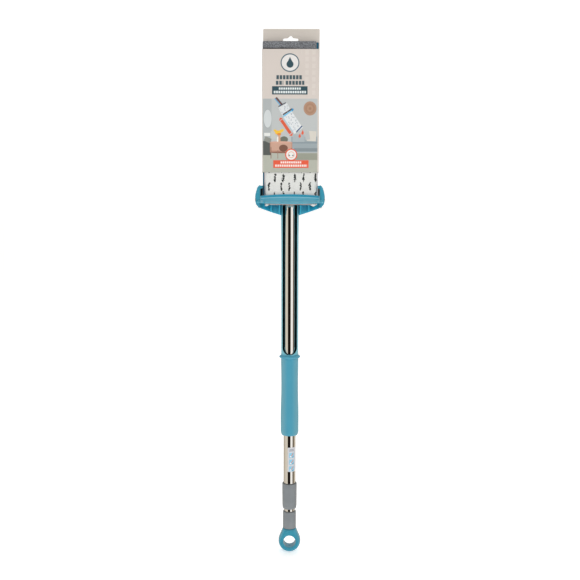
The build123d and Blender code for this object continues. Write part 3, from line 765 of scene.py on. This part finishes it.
wringer = {"skirtFlat": 17.0, "skirtRise": 0.278, "skirtCurve": 0.00228, "wall": 3.6, "edge": 1.3,
           "windowLow": 31.0, "windowHigh": 55.0, "flatHalf": 40.0, "sideHalf": 59.0, "slantFront": -7.0,
           "ear": [(1.6, 16.0), (4.0, 17.6), (7.6, 21.0), (9.1, 25.3), (9.7, 32.0), (9.8, 37.4), (9.0, 43.5),
                   (7.3, 49.5), (5.6, 54.6), (3.4, 57.6), (1.7, 59.4)],
           "ribs": (21.2, 38.0), "ribWall": 2.4, "ribFront": -15.1, "saddle": (3.0, 31.0), "saddleGap": 0.9,
           "post": {-1: 54.9, 1: 56.4}, "curl": (54.7, 53.0, 58.8), "curlDepth": (2.2, 7.2)}


def skirtLow(x, bottom):
    # the wringer's lower edge: level by the channel, then rising outwards a little faster than straight
    out = np.maximum(np.abs(x) - wringer["skirtFlat"], 0)
    return bottom + wringer["skirtRise"] * out + wringer["skirtCurve"] * out ** 2


def wringerFrame():
    # a dish and a rail follow one plan path round the back; on each side an ear with a curled-in top, a post
    # and two ribs, each an outline with its rims rounded; and a saddle behind the channel
    (_, front, bottom), (_, back, top) = nodeBox("wringer_frame")
    wall, side, flat, slant = (wringer[key] for key in ("wall", "sideHalf", "flatHalf", "slantFront"))
    windowLow, windowHigh = bottom + wringer["windowLow"], bottom + wringer["windowHigh"]
    rear = back - wall
    half = through([(side + 1.5, slant - 2), (side - 3, slant + 2), (flat + 2, rear - 3.4), (flat - 4, rear),
                    (flat / 2, rear), (0, rear)], 46)
    path = np.vstack([half, half[-2::-1] * (-1, 1)])[::-1]
    x, whole = path[:, 0], np.ones(len(path))
    thick = wall + 3.5 * np.clip((np.abs(x) - flat) / (side - flat), 0, 1) ** 2
    railTop = top - 2.2 * np.clip((np.abs(x) - 50) / 10, 0, 1) ** 2
    parts = [wallStrip(path, skirtLow(x, bottom), whole * windowLow, thick, wringer["edge"]),
             wallStrip(path, whole * windowHigh, railTop, thick, 1.4)]
    out, lift = through(wringer["ear"], 64).T
    ear = roundedBand(side, side + out, front + 0.4, slant + 5, np.minimum(2.6, out * 0.46))
    z = np.broadcast_to((bottom + lift)[:, None], ear[0].shape)
    reach, curlLow, curlTop = wringer["curl"]
    for sign in (-1, 1):
        parts.append(skin(np.stack([sign * ear[0], ear[1], z], -1)))
        post = boxLoop(wringer["post"][sign], side + 1.6, slant - 4.5, slant + 6, 0.8) * (sign, 1)
        parts.append(prism(post, windowLow - 2, windowHigh + 1.5, 0.4, "xy"))
        curl = boxLoop(reach, side + 1.5, bottom + curlLow, bottom + curlTop, 1.8) * (sign, 1)
        parts.append(prism(curl, *(front + depth for depth in wringer["curlDepth"]), 1.0, "xz"))
        for rib in wringer["ribs"]:
            loop = boxLoop(wringer["ribFront"], back - 2, skirtLow(rib, bottom) + 0.3, top - 2, [5, 1, 1, 3])
            at, halfWall = sign * rib, wringer["ribWall"] / 2
            parts.append(prism(loop, at - halfWall, at + halfWall, 0.7, "yz"))
    bore, rib = radiusOf("wringer_channel") - wringer["saddleGap"], wringer["ribs"][0]
    turn = np.linspace(0, math.pi, 24)
    saddle = np.vstack([bore * np.stack([np.cos(turn), np.sin(turn)], 1),
                        [(-rib, 0), (-rib, back - 1), (rib, back - 1), (rib, 0)]])
    parts.append(prism(saddle, *(bottom + height for height in wringer["saddle"]), 0.5, "xy"))
    addPiece("wringerFrame", parts, tealShell, "wringer", ["wringer_frame"], "teal_shell", 38)


bar = {"ridgeDrop": 2.2, "spreadFrom": -44.6, "thick": 2.2, "stations": 121, "ridge": 36.2, "topEnd": 38.8,
       "bottomCentre": 22.7, "bottomEnd": 24.4}


def frontBar():
    # the bar's section runs up its back, over its top, down its face and out along a hollow apron to the nose.
    # Along the bar its top is crowned, its lower edge bellied, and its ends spread in front of the ears.
    (_, nose, bottom), (reach, back, top) = nodeBox("front_bar")
    base = bottom - bar["bottomCentre"]
    face = back - bar["thick"]
    ridge = base + bar["ridge"]
    t = np.linspace(0, 1, 16)[:, None]
    slope = (1 - t) ** 2 * np.array([face, ridge]) + 2 * t * (1 - t) * np.array([face - 3.0, ridge - 6.6]) \
        + t ** 2 * np.array([nose + 0.3, bottom + 1.7])
    under = slope[::-1][2:] + np.array([1.5, -1.9])
    under = under[under[:, 0] < face - 1.2]
    rim = softLoop([(back, bottom + 1), (back, top), (face, top), (face, ridge + 0.7), (face - 0.5, ridge)],
                   [0.5, 0.9, 0.9, 0.5, 0.3], 5)
    tip = softLoop([slope[-1] + (1.2, 0.6), (nose, bottom + 1.2), (nose, bottom), (nose + 1.6, bottom)],
                   [0.3, 0.6, 0.6, 0.3], 4)
    inside = [(face - 0.9, ridge - 4.6), (face - 0.2, bottom + 1)]
    section = np.vstack([rim, slope[2:-1], tip[4:12], under, inside])
    u = np.linspace(-1, 1, bar["stations"])
    u = (np.sign(u) * (1 - (1 - np.abs(u)) ** 1.25))[:, None]
    y, z = section.T
    inner = wringer["sideHalf"] - 0.3
    spread = np.clip((ridge - z) / (ridge - bottom - 2), 0, 1)
    width = np.where(y > bar["spreadFrom"], inner, inner + (reach + 0.6 - inner) * spread)
    share = u ** 2
    crest = top + (base + bar["topEnd"] - top) * share
    ridgeLine = ridge - bar["ridgeDrop"] * share
    floor = bottom + (bar["bottomEnd"] - bar["bottomCentre"]) * share
    shaped = np.where(z > ridge, ridgeLine + (z - ridge) * (crest - ridgeLine) / (top - ridge),
                      ridgeLine - (ridge - z) * (ridgeLine - floor) / (ridge - bottom))
    points = np.stack([u * width, np.broadcast_to(y, shaped.shape), shaped], -1)
    # painted highlights: pale lines along the ridge, the crown and the ends, stored as numbers on the points
    bright = np.exp(-((z - ridge) / 0.75) ** 2) + np.exp(-((z - top) / 0.6) ** 2) * 0.6
    ends = np.exp(-((1 - np.abs(u)) * inner / 1.3) ** 2)
    shine = np.clip(bright + ends, 0, 1) * (y < back - 0.8)
    # how far down the apron a point lies, for the look's painted reflection
    fall = np.broadcast_to(np.clip((ridge - z) / (ridge - bottom), 0, 1), shaped.shape)
    addPiece("frontBar", [skin(points)], tealBar, "wringer", ["front_bar"], "teal_shell", 40, shine=shine,
             fall=fall)


screws = {"head": 2.8, "y": -41.0, "z": 31.0, "stand": 0.9, "sunk": 3.0, "slot": (3.4, 0.7)}


def barScrews():
    # pan heads on the ears' outer sides, each with a cross slot
    out, bottom = radiusOf("wringer_frame"), nodeBox("wringer_frame")[0][2]
    y, z, r, stand = screws["y"], bottom + screws["z"], screws["head"], screws["stand"]
    profile = softLoop([(0.01, -screws["sunk"]), (r, -screws["sunk"]), (r, stand * 0.5), (0.01, stand)],
                       [0.005, 0.2, 0.5, 0.005], 5)
    head, faces = turned(profile, 40)
    heads = [(np.stack([sign * (head[:, 2] + out - 0.3), head[:, 0] + y, head[:, 1] + z], 1), faces)
             for sign in (-1, 1)]
    piece = addPiece("barScrews", heads, steel, "wringer", ["bar_screws"], "steel")
    for wide, tall in (screws["slot"], screws["slot"][::-1]):
        slot = boxLoop(y - wide / 2, y + wide / 2, z - tall / 2, z + tall / 2, 0.1)
        drill(piece, [prism(slot, *ends, 0.02, "yz") for ends in ((-out - 2, 0.2 - out), (out - 0.2, out + 2))])


plate = {"corner": 4.0, "nib": (1.9, 20.0), "edge": 1.2, "rib": 1.4, "ribWide": 2.4, "ribAt": (26.0, 44.4),
         "ribEnd": 44.0}


def headPlate():
    # a flat plate with a nib at its far right corner, and four ribs along its back
    (left, front, near), (right, back, far) = nodeBox("head_plate")
    face = back - plate["rib"]
    out, down = plate["nib"]
    loop = softLoop([(left, near), (right, near), (right, far - down), (right + out, far - down + 2),
                     (right + out, far), (left, far)], [plate["corner"], plate["corner"], 1, 1, 1.5, 4], 10)
    parts = [prism(loop, front, face, plate["edge"], "xz", 5)]
    half, start, end = plate["ribWide"] / 2, near + plate["ribEnd"], far - plate["ribEnd"] + 6
    for spot in plate["ribAt"]:
        for x in (-spot, spot):
            parts.append(prism(boxLoop(x - half, x + half, start, end, 1.1), face - 0.5, back, 0.6, "xz"))
    addPiece("headPlate", parts, darkTeal, "head", ["head_plate"], "plate_teal")


pile = {"columns": 172, "rows": 330, "roll": 4.2, "fluff": 0.30, "ribPitch": 2.62, "rib": 0.16, "sag": 0.45,
        "dashPitch": 17.7, "dashHalf": 8.6, "dashWide": 2.1, "raise": 0.35, "seed": 41, "out": 0.9,
        "rowA": (-41.6, -17.5, -1.2, 21.3, 39.4), "rowB": (-30.2, -13.4, 9.0, 26.4, 50.3), "firstRow": 35.6,
        "droop": 3.0, "droopAt": (-46.5, 46.5), "droopWide": 4.5}


def padPile():
    # the mopping face: a sheet of pile whose front falls away towards every edge on a quarter circle, with
    # upright ribs, fluff, and rows of dark dashes that stand a little proud
    (left, front, near), (right, back, far) = nodeBox("pad_pile")
    u = np.linspace(0, 1, pile["columns"])
    u = 0.82 * u + 0.18 * (0.5 - 0.5 * np.cos(math.pi * u))
    across, up = np.meshgrid(u, np.linspace(0, 1, pile["rows"]))
    x = left + (right - left) * across
    z = near + (far - near) * up
    edge = np.minimum(np.minimum(x - left, right - x), np.minimum(z - near, far - z))
    rise = np.sqrt(np.maximum(1 - (1 - np.clip(edge / pile["roll"], 0, 1)) ** 2, 0))
    fine, broad, ragged, torn = (softNoise(x.shape, cells, pile["seed"] + step) for cells, step in
                                 (((300, 160), 0), ((26, 12), 1), ((170, 40), 3), ((260, 70), 4)))
    dash = np.zeros(x.shape)
    chance = np.random.default_rng(pile["seed"] + 2)
    for row in range(-3, int((far - near) / pile["dashPitch"]) + 1):
        middle = near + pile["firstRow"] + pile["dashPitch"] * row
        for spot in pile["rowA" if row % 2 == 0 else "rowB"]:
            lift = z - middle - chance.uniform(-0.7, 0.7)
            sway = 0.5 * np.sin(lift / 2.9 + chance.uniform(0, 6)) + 0.07 * lift * chance.uniform(-1, 1)
            wide = np.sqrt(np.maximum(1 - (lift / pile["dashHalf"]) ** 4, 0)) * (0.85 + 0.9 * torn)
            wide = pile["dashWide"] * wide * chance.uniform(0.75, 1.05)
            off = np.abs(x - spot - sway - 0.7 * ragged - chance.uniform(-0.6, 0.6)) / np.maximum(wide, 0.01)
            dash = np.maximum(dash, np.clip(1.5 - off, 0, 1) * (wide > 0.25))
    dash *= 0.75 + 0.5 * np.clip(fine + 0.6, 0, 1)
    ribs = np.cos(2 * math.pi * (x + 0.25 * broad) / pile["ribPitch"])
    relief = pile["fluff"] * fine + pile["rib"] * ribs + pile["sag"] * broad + pile["raise"] * dash
    y = back - rise * (back - front + pile["out"] * 0.6 + relief)
    x = x + (1 - rise) * 0.5 * fine
    reach = np.clip(1 - (z - near) / 9, 0, 1)
    for spot in pile["droopAt"]:
        z = z - pile["droop"] * reach * np.exp(-((x - spot) / pile["droopWide"]) ** 2) * (0.8 + 0.4 * broad)
    grid = np.arange(x.size).reshape(x.shape)
    rim = [*grid[0], *grid[1:, -1], *grid[-1, -2::-1], *grid[-2:0:-1, 0]]
    faces = gridFaces(*x.shape).tolist() + [[int(i) for i in rim[::-1]]]
    sheet = (np.stack([x, y, z], -1).reshape(-1, 3), faces)
    piece = addPiece("padPile", [sheet], padWhite, "head", ["pad_pile"], "pad_white", 180, dash=dash)


backing = {"edge": 0.7, "binding": (3.6, 8.6), "lift": 2.0, "seam": (2.3, 1.7), "twist": 2.1,
           "bindingDeep": 3.2, "hem": (1.6, 1.2), "hemDown": 3.0}


def tape(start, end, size, ridge, pitch):
    # a soft tape along a straight line in x or z: an ellipse carried along it, with slanting stitch ridges
    start, end = np.array(start, float), np.array(end, float)
    length = np.linalg.norm(end - start)
    run = np.linspace(0, 1, max(int(length / 0.7), 20))[:, None, None]
    a = np.linspace(0, 2 * math.pi, 18, endpoint=False)[None, :, None]
    one = np.array([0, 0, 1.0] if abs(end[0] - start[0]) > abs(end[2] - start[2]) else [1.0, 0, 0])
    swell = 1 + ridge * np.cos(2 * math.pi * run * length / pitch + a * 2)
    closing = np.sqrt(np.maximum(1 - np.abs(2 * run - 1) ** 40, 0.02))
    ellipse = size[0] / 2 * np.cos(a) * one + size[1] / 2 * np.sin(a) * np.array([0, 1.0, 0])
    return skin(start + (end - start) * run + closing * swell * ellipse)


def padBack():
    # the cloth behind the pile, its overlocked sides, and the pocket over the plate's near end
    (left, front, low), (right, back, high) = nodeBox("pad_backing")
    outline = boxLoop(left + 0.3, right - 0.3, low + 0.3, high - 0.3, 3)
    slab = prism(outline, front, back, backing["edge"], "xz")
    piece = addPiece("padBacking", [slab], padFelt, "head", ["pad_backing"], "pad_felt")
    y = (front + back) / 2 - 0.5
    seams = [tape((x, y, low + 2), (x, y, high - 2), backing["seam"], 0.16, backing["twist"])
             for x in (left + 0.2, right - 0.2)]
    addPiece("padSeams", seams, seamThread, "head", slot="pad_felt")
    (left, front, low), (right, back, high) = nodeBox("near_pocket")
    plateEnd, plateBack = nodeBox("head_plate")[0][2], nodeBox("head_plate")[1][1] - plate["rib"]
    loop = softLoop([(front, low), (back, low), (back, high), (plateBack, high), (plateBack, plateEnd),
                     (front, plateEnd)], [0.4, 1.6, 0.8, 0.5, 0.4, 0.4])
    y, z = back - 0.3, high - backing["hemDown"]
    hem = tape((left + 2, y, z), (right - 2, y, z), backing["hem"], 0.2, 2.4)
    pocket = prism(loop, left + 0.4, right - 0.4, 0.8, "yz")
    piece = addPiece("nearPocket", [pocket, hem], padFelt, "head", ["near_pocket"], "pad_felt")
    y, z = nodeBox("pad_pile")[0][1] + backing["bindingDeep"], low + backing["lift"]
    binding = tape((left + 1, y, z), (right - 1, y, z), backing["binding"], 0.05, 3.0)
    addPiece("padBinding", [binding], bindingLook, "head", slot="pad_felt")


terry = {"stations": 230, "ring": 200, "edge": 2.6, "fine": 0.55, "broad": 0.45, "seed": 7}


def farPocket():
    # terry pocket over the plate's far end: one outline round front layer, fold and back layer, carried
    # across; its outer side is rounded off at both ends and roughened by loops
    (left, front, low), (right, back, high) = nodeBox("far_pocket")
    plateLow, plateHigh = nodeBox("head_plate")
    inFront, inBack, inTop = plateLow[1], plateHigh[1] - plate["rib"], plateHigh[2]
    corners = [(front, low), (front, high), (back, high), (back, low),
               (inBack, low), (inBack, inTop), (inFront, inTop), (inFront, low)]
    loop = spaced(softLoop(corners, [3.0, 6.5, 2.0, 0.8, 0.7, 0.5, 0.5, 0.8], 8), terry["ring"])
    loop = loop if signedArea(loop) > 0 else loop[::-1]
    y, z = loop.T
    outer = np.clip(np.maximum(inFront - 1.5 - y, z - inTop - 0.6) / 2, 0, 1)
    weight = np.maximum(outer, np.clip((y - inBack - 0.9) / 0.5, 0, 1) * 0.3)
    x = np.linspace(left, right, terry["stations"])
    end = np.minimum(x - left, right - x)
    inset = terry["edge"] * (1 - np.sqrt(1 - (1 - np.clip(end / terry["edge"], 0, 1)) ** 2))
    shape = (terry["stations"], terry["ring"])
    rough = terry["fine"] * softNoise(shape, (150, 104), terry["seed"]) \
        + terry["broad"] * softNoise(shape, (9, 6), terry["seed"] + 1)
    offset = (inset[:, None] - rough * 0.8 + 0.3) * weight
    flat = loop[None] + inward(loop)[None] * offset[:, :, None]
    points = np.concatenate([np.broadcast_to(x[:, None, None], (*shape, 1)), flat], -1)
    piece = addPiece("farPocket", [skin(points)], terryGrey, "head", ["far_pocket"], "terry_grey", 180)


label = {"thick": 0.06, "centre": -55.0, "width": 23.0}


def tubeLabel():
    # a sticker: a patch of a cylinder with round corners in its own width and height
    low, high = nodeBox("tube_label")
    radius = radiusOf("outer_tube")
    loop = spaced(boxLoop(-label["width"] / 2, label["width"] / 2, low[2], high[2], 1.6), 160)
    shares = np.linspace(0.02, 1, 14)
    share = np.concatenate([shares, shares[::-1]])[:, None, None]
    away = radius + np.repeat([0.01, label["thick"]], 14)[:, None]
    flat = loop.mean(0) + (loop - loop.mean(0)) * share
    turn = math.radians(label["centre"]) + flat[:, :, 0] / radius
    rings = np.stack([away * np.cos(turn), away * np.sin(turn), flat[:, :, 1]], -1)
    addPiece("tubeLabel", [skin(rings)], labelPaper, "pole", ["tube_label"], "label_paper")


def labelLook():
    # white film with three plain pale blue pictures of an orange stroke, and grey bars above them
    look = Look("labelPaper", "eef0f4", 0.35, Coat_Weight=0.3, Coat_Roughness=0.2)
    x, y, z = look.axes()
    along = (look.maths("ARCTAN2", y, x) - math.radians(label["centre"])) * nodeBox("outer_tube")[1][0]
    down = nodeBox("tube_label")[1][2] - z
    shapes = [("bar", -3.0, 4.4, 4.6, 0.75, 0, "8b8f9b"), ("bar", -3.0, 7.0, 5.6, 0.75, 0, "8b8f9b")]
    for middle in (16.5, 30.8, 45.1):
        shapes += [("bar", -3.0, middle, 5.4, 5.4, 0, "8cc8e4"),
                   ("bar", -2.6, middle, 0.9, 5.2, 0.6, "d98a68"),
                   ("disc", -5.2, middle + 2.6, 1.7, 1.4, 0, "eef6fa"),
                   ("bar", -0.4, middle + 3.4, 1.5, 0.6, -0.7, "46566b")]
    colour = look.mix(look.noise(200.0) * 0.3, "d3d4da", "c6c9d0")
    for *shape, ink in shapes:
        colour = look.mix(look.patch(along, down, *shape), colour, ink)
    look.put("Base Color", colour)
    return look


labelPaper = labelLook()


# printed shapes, in mm: kind, right of the card's middle, below the front panel's top, half width,
# half height, turn in radians, colour
room = [
    ("bar", -0.6, 163.5, 53.6, 70.3, 0, "bcc0c0"), ("bar", -46.0, 150.0, 8.6, 56.6, 0, "aeb3b4"),
    ("disc", -45.2, 131.0, 8.6, 18.2, 0, "9aa1a2"), ("disc", -45.0, 131.0, 7.8, 17.2, 0, "ced3d4"),
    ("bar", -0.6, 215.0, 53.6, 18.8, 0, "b3b5a9"), ("bar", 22.0, 203.0, 31.0, 6.5, 0, "979a8c"),
    ("disc", 38.2, 111.6, 12.8, 13.4, 0, "b18d76"), ("disc", 38.2, 111.6, 9.4, 9.8, 0, "a98269"),
    ("disc", 38.2, 111.6, 6.0, 6.3, 0, "b49078"), ("disc", 38.2, 111.6, 2.6, 2.8, 0, "a37c63"),
    ("bar", 27.0, 180.0, 26.0, 15.0, 0, "9aa6ab"), ("bar", 16.0, 168.0, 11.5, 7.5, 0, "aab4b8"),
    ("bar", 41.5, 164.0, 9.0, 9.5, 0.06, "d5d0c6"), ("bar", 33.0, 163.0, 4.5, 8.0, -0.15, "b9bcbb"),
    ("bar", 27.0, 176.6, 26.0, 1.5, 0, "8a979d"), ("bar", 30.0, 190.0, 23.0, 3.0, 0, "848f93"),
    ("bar", -46.5, 187.0, 7.6, 13.5, 0, "575b58"), ("bar", -45.0, 171.0, 6.5, 4.5, 0.4, "8e9089"),
    ("bar", -34.0, 162.0, 5.0, 7.0, 0, "c3c5c2"), ("bar", -46.0, 161.0, 6.0, 3.0, 0, "e2e3e0"),
    ("disc", -13.0, 170.5, 8.0, 6.0, 0, "6d7266"),
    ("bar", -18.5, 185.5, 22.0, 9.8, 0, "b98a76"), ("bar", -18.5, 184.5, 20.5, 7.2, 0, "c9a08c"),
    ("disc", -14.0, 187.0, 8.6, 6.6, 0, "7d5646"), ("disc", -18.5, 175.8, 22.0, 1.9, 0, "d3a592"),
    ("disc", -18.5, 195.2, 22.0, 1.6, 0, "8f6453"), ("bar", -38.5, 196.0, 0.7, 11.0, 0, "8a6455"),
    ("bar", 1.5, 196.0, 0.7, 9.0, 0, "8a6455"), ("bar", -25.0, 199.0, 0.6, 8.0, 0, "96705f"),
    ("bar", -22.5, 169.0, 2.6, 7.2, 0, "cda185"), ("bar", -25.4, 170.0, 1.4, 5.0, 0, "ece9e2"),
    ("disc", -24.5, 157.5, 6.0, 4.0, 0, "f0b62e"), ("disc", -19.0, 154.6, 6.6, 2.8, -0.5, "f4c544"),
    ("disc", -29.0, 154.6, 5.0, 2.4, 0.5, "efc23c"), ("disc", -22.5, 160.5, 4.0, 2.4, 0, "e28a35"),
]
drawing = [
    ("bar", -23.6, 98.4, 2.6, 8.8, -0.72, "7b5244"), ("bar", -25.4, 99.4, 1.1, 8.8, -0.72, "69a9cf"),
    ("bar", -21.6, 97.4, 0.8, 8.8, -0.72, "4b4a58"), ("bar", -16.6, 104.4, 8.2, 0.9, -0.47, "3a3e52"),
    ("bar", -11.4, 113.6, 9.6, 8.6, -0.5, "dadee0"), ("bar", -6.0, 117.9, 10.8, 1.3, -0.55, "4a3530"),
    ("bar", -5.0, 120.8, 10.8, 1.5, -0.55, "76bfe2"), ("disc", 3.8, 113.9, 2.2, 2.2, 0, "2b8fc6"),
    ("bar", 4.8, 138.6, 10.2, 19.0, -0.62, "dfe2e4"), ("bar", -5.2, 141.2, 0.5, 18.0, -0.62, "a4cfe6"),
    ("bar", 17.0, 150.7, 8.4, 1.1, -0.80, "2d4b78"),
    ("bar", -9.2, 146.4, 2.9, 15.6, -0.62, "dd5a38"), ("peak", -21.4, 129.2, 4.8, 4.4, -0.62, "dd5a38"),
    ("peak", 3.4, 163.9, 4.8, 4.4, 2.52, "dd5a38"), ("disc", 18.0, 164.4, 2.3, 2.9, 0, "e4603f"),
    ("peak", 18.4, 158.0, 1.9, 5.4, 0, "e4603f"), ("disc", 23.6, 158.4, 2.4, 3.0, 0, "e4603f"),
    ("peak", 24.0, 151.6, 2.0, 5.6, 0, "e4603f"),
]
emblem = [
    ("disc", -1.3, 25.6, 18.4, 17.4, 0, "4a6673"), ("disc", -1.3, 25.6, 16.3, 15.3, 0, "e6e3e1"),
    ("disc", -1.3, 28.4, 6.8, 6.6, 0, "34505a"), ("peak", -1.3, 15.0, 5.9, 11.0, 0, "34505a"),
]
banners = [
    ("bar", -1.6, 77.6, 34.8, 7.8, 0, "2f4d57"), ("disc", 1.4, 199.6, 12.0, 11.6, 0, "e4573a"),
    ("disc", 1.4, 199.6, 9.8, 9.5, 0, "ecebe8"), ("disc", 1.4, 199.6, 6.6, 6.2, 0, "e9a58e"),
    ("disc", 1.4, 199.6, 5.4, 5.0, 0, "ecebe8"), ("bar", -2.4, 200.6, 1.6, 1.1, 0.5, "6a7479"),
    ("bar", 4.6, 200.8, 1.6, 1.1, -0.5, "6a7479"), ("bar", 0.8, 217.4, 34.9, 7.3, 0, "e65a3c"),
]
# rows of plain blocks where a package has its wording: middle, height, half width, half height, step, colour
wording = [(-2.6, 53.0, 26.0, 3.9, 6.4, "42575f"), (-22.0, 63.4, 7.6, 3.7, 6.6, "42575f"),
           (8.2, 63.4, 18.6, 3.7, 6.4, "42575f"), (-1.6, 74.2, 22.0, 2.0, 4.4, "dfe6e7"),
           (-1.6, 80.8, 32.0, 2.3, 4.6, "dfe6e7"), (0.8, 214.2, 21.0, 1.9, 4.2, "f6e2dc"),
           (0.8, 220.4, 31.6, 2.0, 4.4, "f6e2dc")]


def cardLook():
    # coated board: beige with a faint tooth; the print is on the front panel only
    look = Look("cardPrint", "d5cbc5", 0.42, Coat_Weight=0.25, Coat_Roughness=0.25)
    low, high = nodeBox("card_sleeve")
    frontTop = nodeBox("far_pocket")[1][2] - card["frontDrop"]
    x, y, z = look.axes()
    x = x - (low[0] + high[0]) / 2
    down = (frontTop - z) * (card["printTall"] / (frontTop - low[2]))
    beige = look.mix(look.noise(9.0, 2.0), "d8cfc8", "d1c7c0")
    header = look.mix(look.noise(9.0, 2.0), "cfc7bf", "c9c1b9")
    inside = look.mix(look.noise(400.0, 3.0), "b9b4ad", "c6c1ba")
    columns, rows = abs((x + 1.5) % 13.4 - 6.7), abs(down % 12.6 - 6.3)
    ghost = look.between(columns, 3.6, 3.1) * look.between(rows, 4.4, 3.9)
    corner = look.between(x - down * 0.08, 20.0, 21.0) * look.between(down, 91.0, 86.0)
    printed = look.mix(ghost * corner * 0.5, beige, "ddd5ce")
    for *shape, ink in room + drawing + emblem + banners:
        printed = look.mix(look.patch(x, down, *shape), printed, ink)
    dots = look.between(look.cells(300.0, 1.0), 0.36, 0.22)
    cloth = look.patch(x, down, "bar", 4.8, 138.6, 9.0, 18.0, -0.62) \
        + look.patch(x, down, "bar", -11.4, 113.6, 8.4, 7.6, -0.5)
    printed = look.mix(dots * cloth * 0.85, printed, "8f98a6")
    for cx, cz, wide, tall, step, ink in wording:
        blocks = look.between(abs((x - cx + wide) % step - step / 2), step * 0.40, step * 0.36)
        printed = look.mix(look.patch(x, down, "bar", cx, cz, wide, tall) * blocks, printed, ink)
    plain = look.mix(look.between(down, 0.5, -0.5), inside, header)
    colour = look.mix(look.between(y, low[1] + 0.34, low[1] + 0.12), plain, printed)
    look.put("Base Color", look.mix(look.between(y, high[1] - 0.3, high[1] - 0.1), colour, beige))
    look.bump(look.noise(900.0, 3.0), 0.10, 0.0002)
    return look


def cardSleeve():
    # one board folded round the head: front and sides as a U in plan, whose fold corners are round; and a
    # back panel with the slot for the hinge and a hanging hole in its header
    (left, front, near), (right, back, far) = nodeBox("card_sleeve")
    fold, board, shift, padTop = card["fold"], card["board"], card["skew"], nodeBox("far_pocket")[1][2]
    mid, n = (left + right) / 2, 12
    turn = np.linspace(0, math.pi / 2, 7)
    side = np.stack([np.full(n, right), np.linspace(back - 0.02, front + fold, n)], 1)
    corner = np.stack([right - fold + fold * np.cos(turn), front + fold - fold * np.sin(turn)], 1)
    face = np.stack([np.linspace(right - fold, left + fold, 60), np.full(60, front)], 1)
    half = np.vstack([side[:-1], corner, face[1:30]])
    path = np.vstack([half, (half * (-1, 1) + (2 * mid, 0))[::-1]])[::-1]
    whole = np.ones(len(path))
    walls = wallStrip(path, near * whole, (padTop - card["frontDrop"]) * whole, board * whole, 0.12)
    addPiece("cardSleeve", [walls], cardPrint, "card", ["card_sleeve"], "card_print", 50)
    s, e = card["slotHalf"], 0.12
    slotTop = nodeBox("hinge_bracket")[1][2] + card["slotRise"]
    panel = softLoop([(left + e, near), (-s, near), (-s, slotTop), (s, slotTop), (s, near), (right - e, near),
                      (right - e + shift, far), (left + e + shift, far)],
                     [0.5, 0.5, 3, 3, 0.5, 0.5, card["corner"], card["corner"]], 7)
    panel = addPiece("cardBack", [prism(panel, back - board, back, 0.1, "xz")], cardPrint, "card",
                     slot="card_print", crease=50)
    w, nose = card["euroHalf"], card["noseHalf"]
    base, shoulder, apex = (padTop + card[key] for key in ("euroLow", "euroShoulder", "euroApex"))
    hole = softLoop([(mid - w, base), (mid + w, base), (mid + w, shoulder), (mid + nose, shoulder + 0.8),
                     (mid, apex + 1.2), (mid - nose, shoulder + 0.8), (mid - w, shoulder)],
                    [2.6, 2.6, 2.2, 2.0, 3.4, 2.0, 2.2], 7)
    drill(panel, [prism(hole, back - 3, back + 3, 0.02, "xz")], 50)


cardPrint = cardLook()
hangEye()
greySleeves()
handleTubes()
gripAndRing()
print("handle made")
wringerChannel()
wringerFrame()
frontBar()
barScrews()
print("wringer made")
headPlate()
padPile()
padBack()
farPocket()
print("head made")
cardSleeve()
tubeLabel()
print("card and label made")
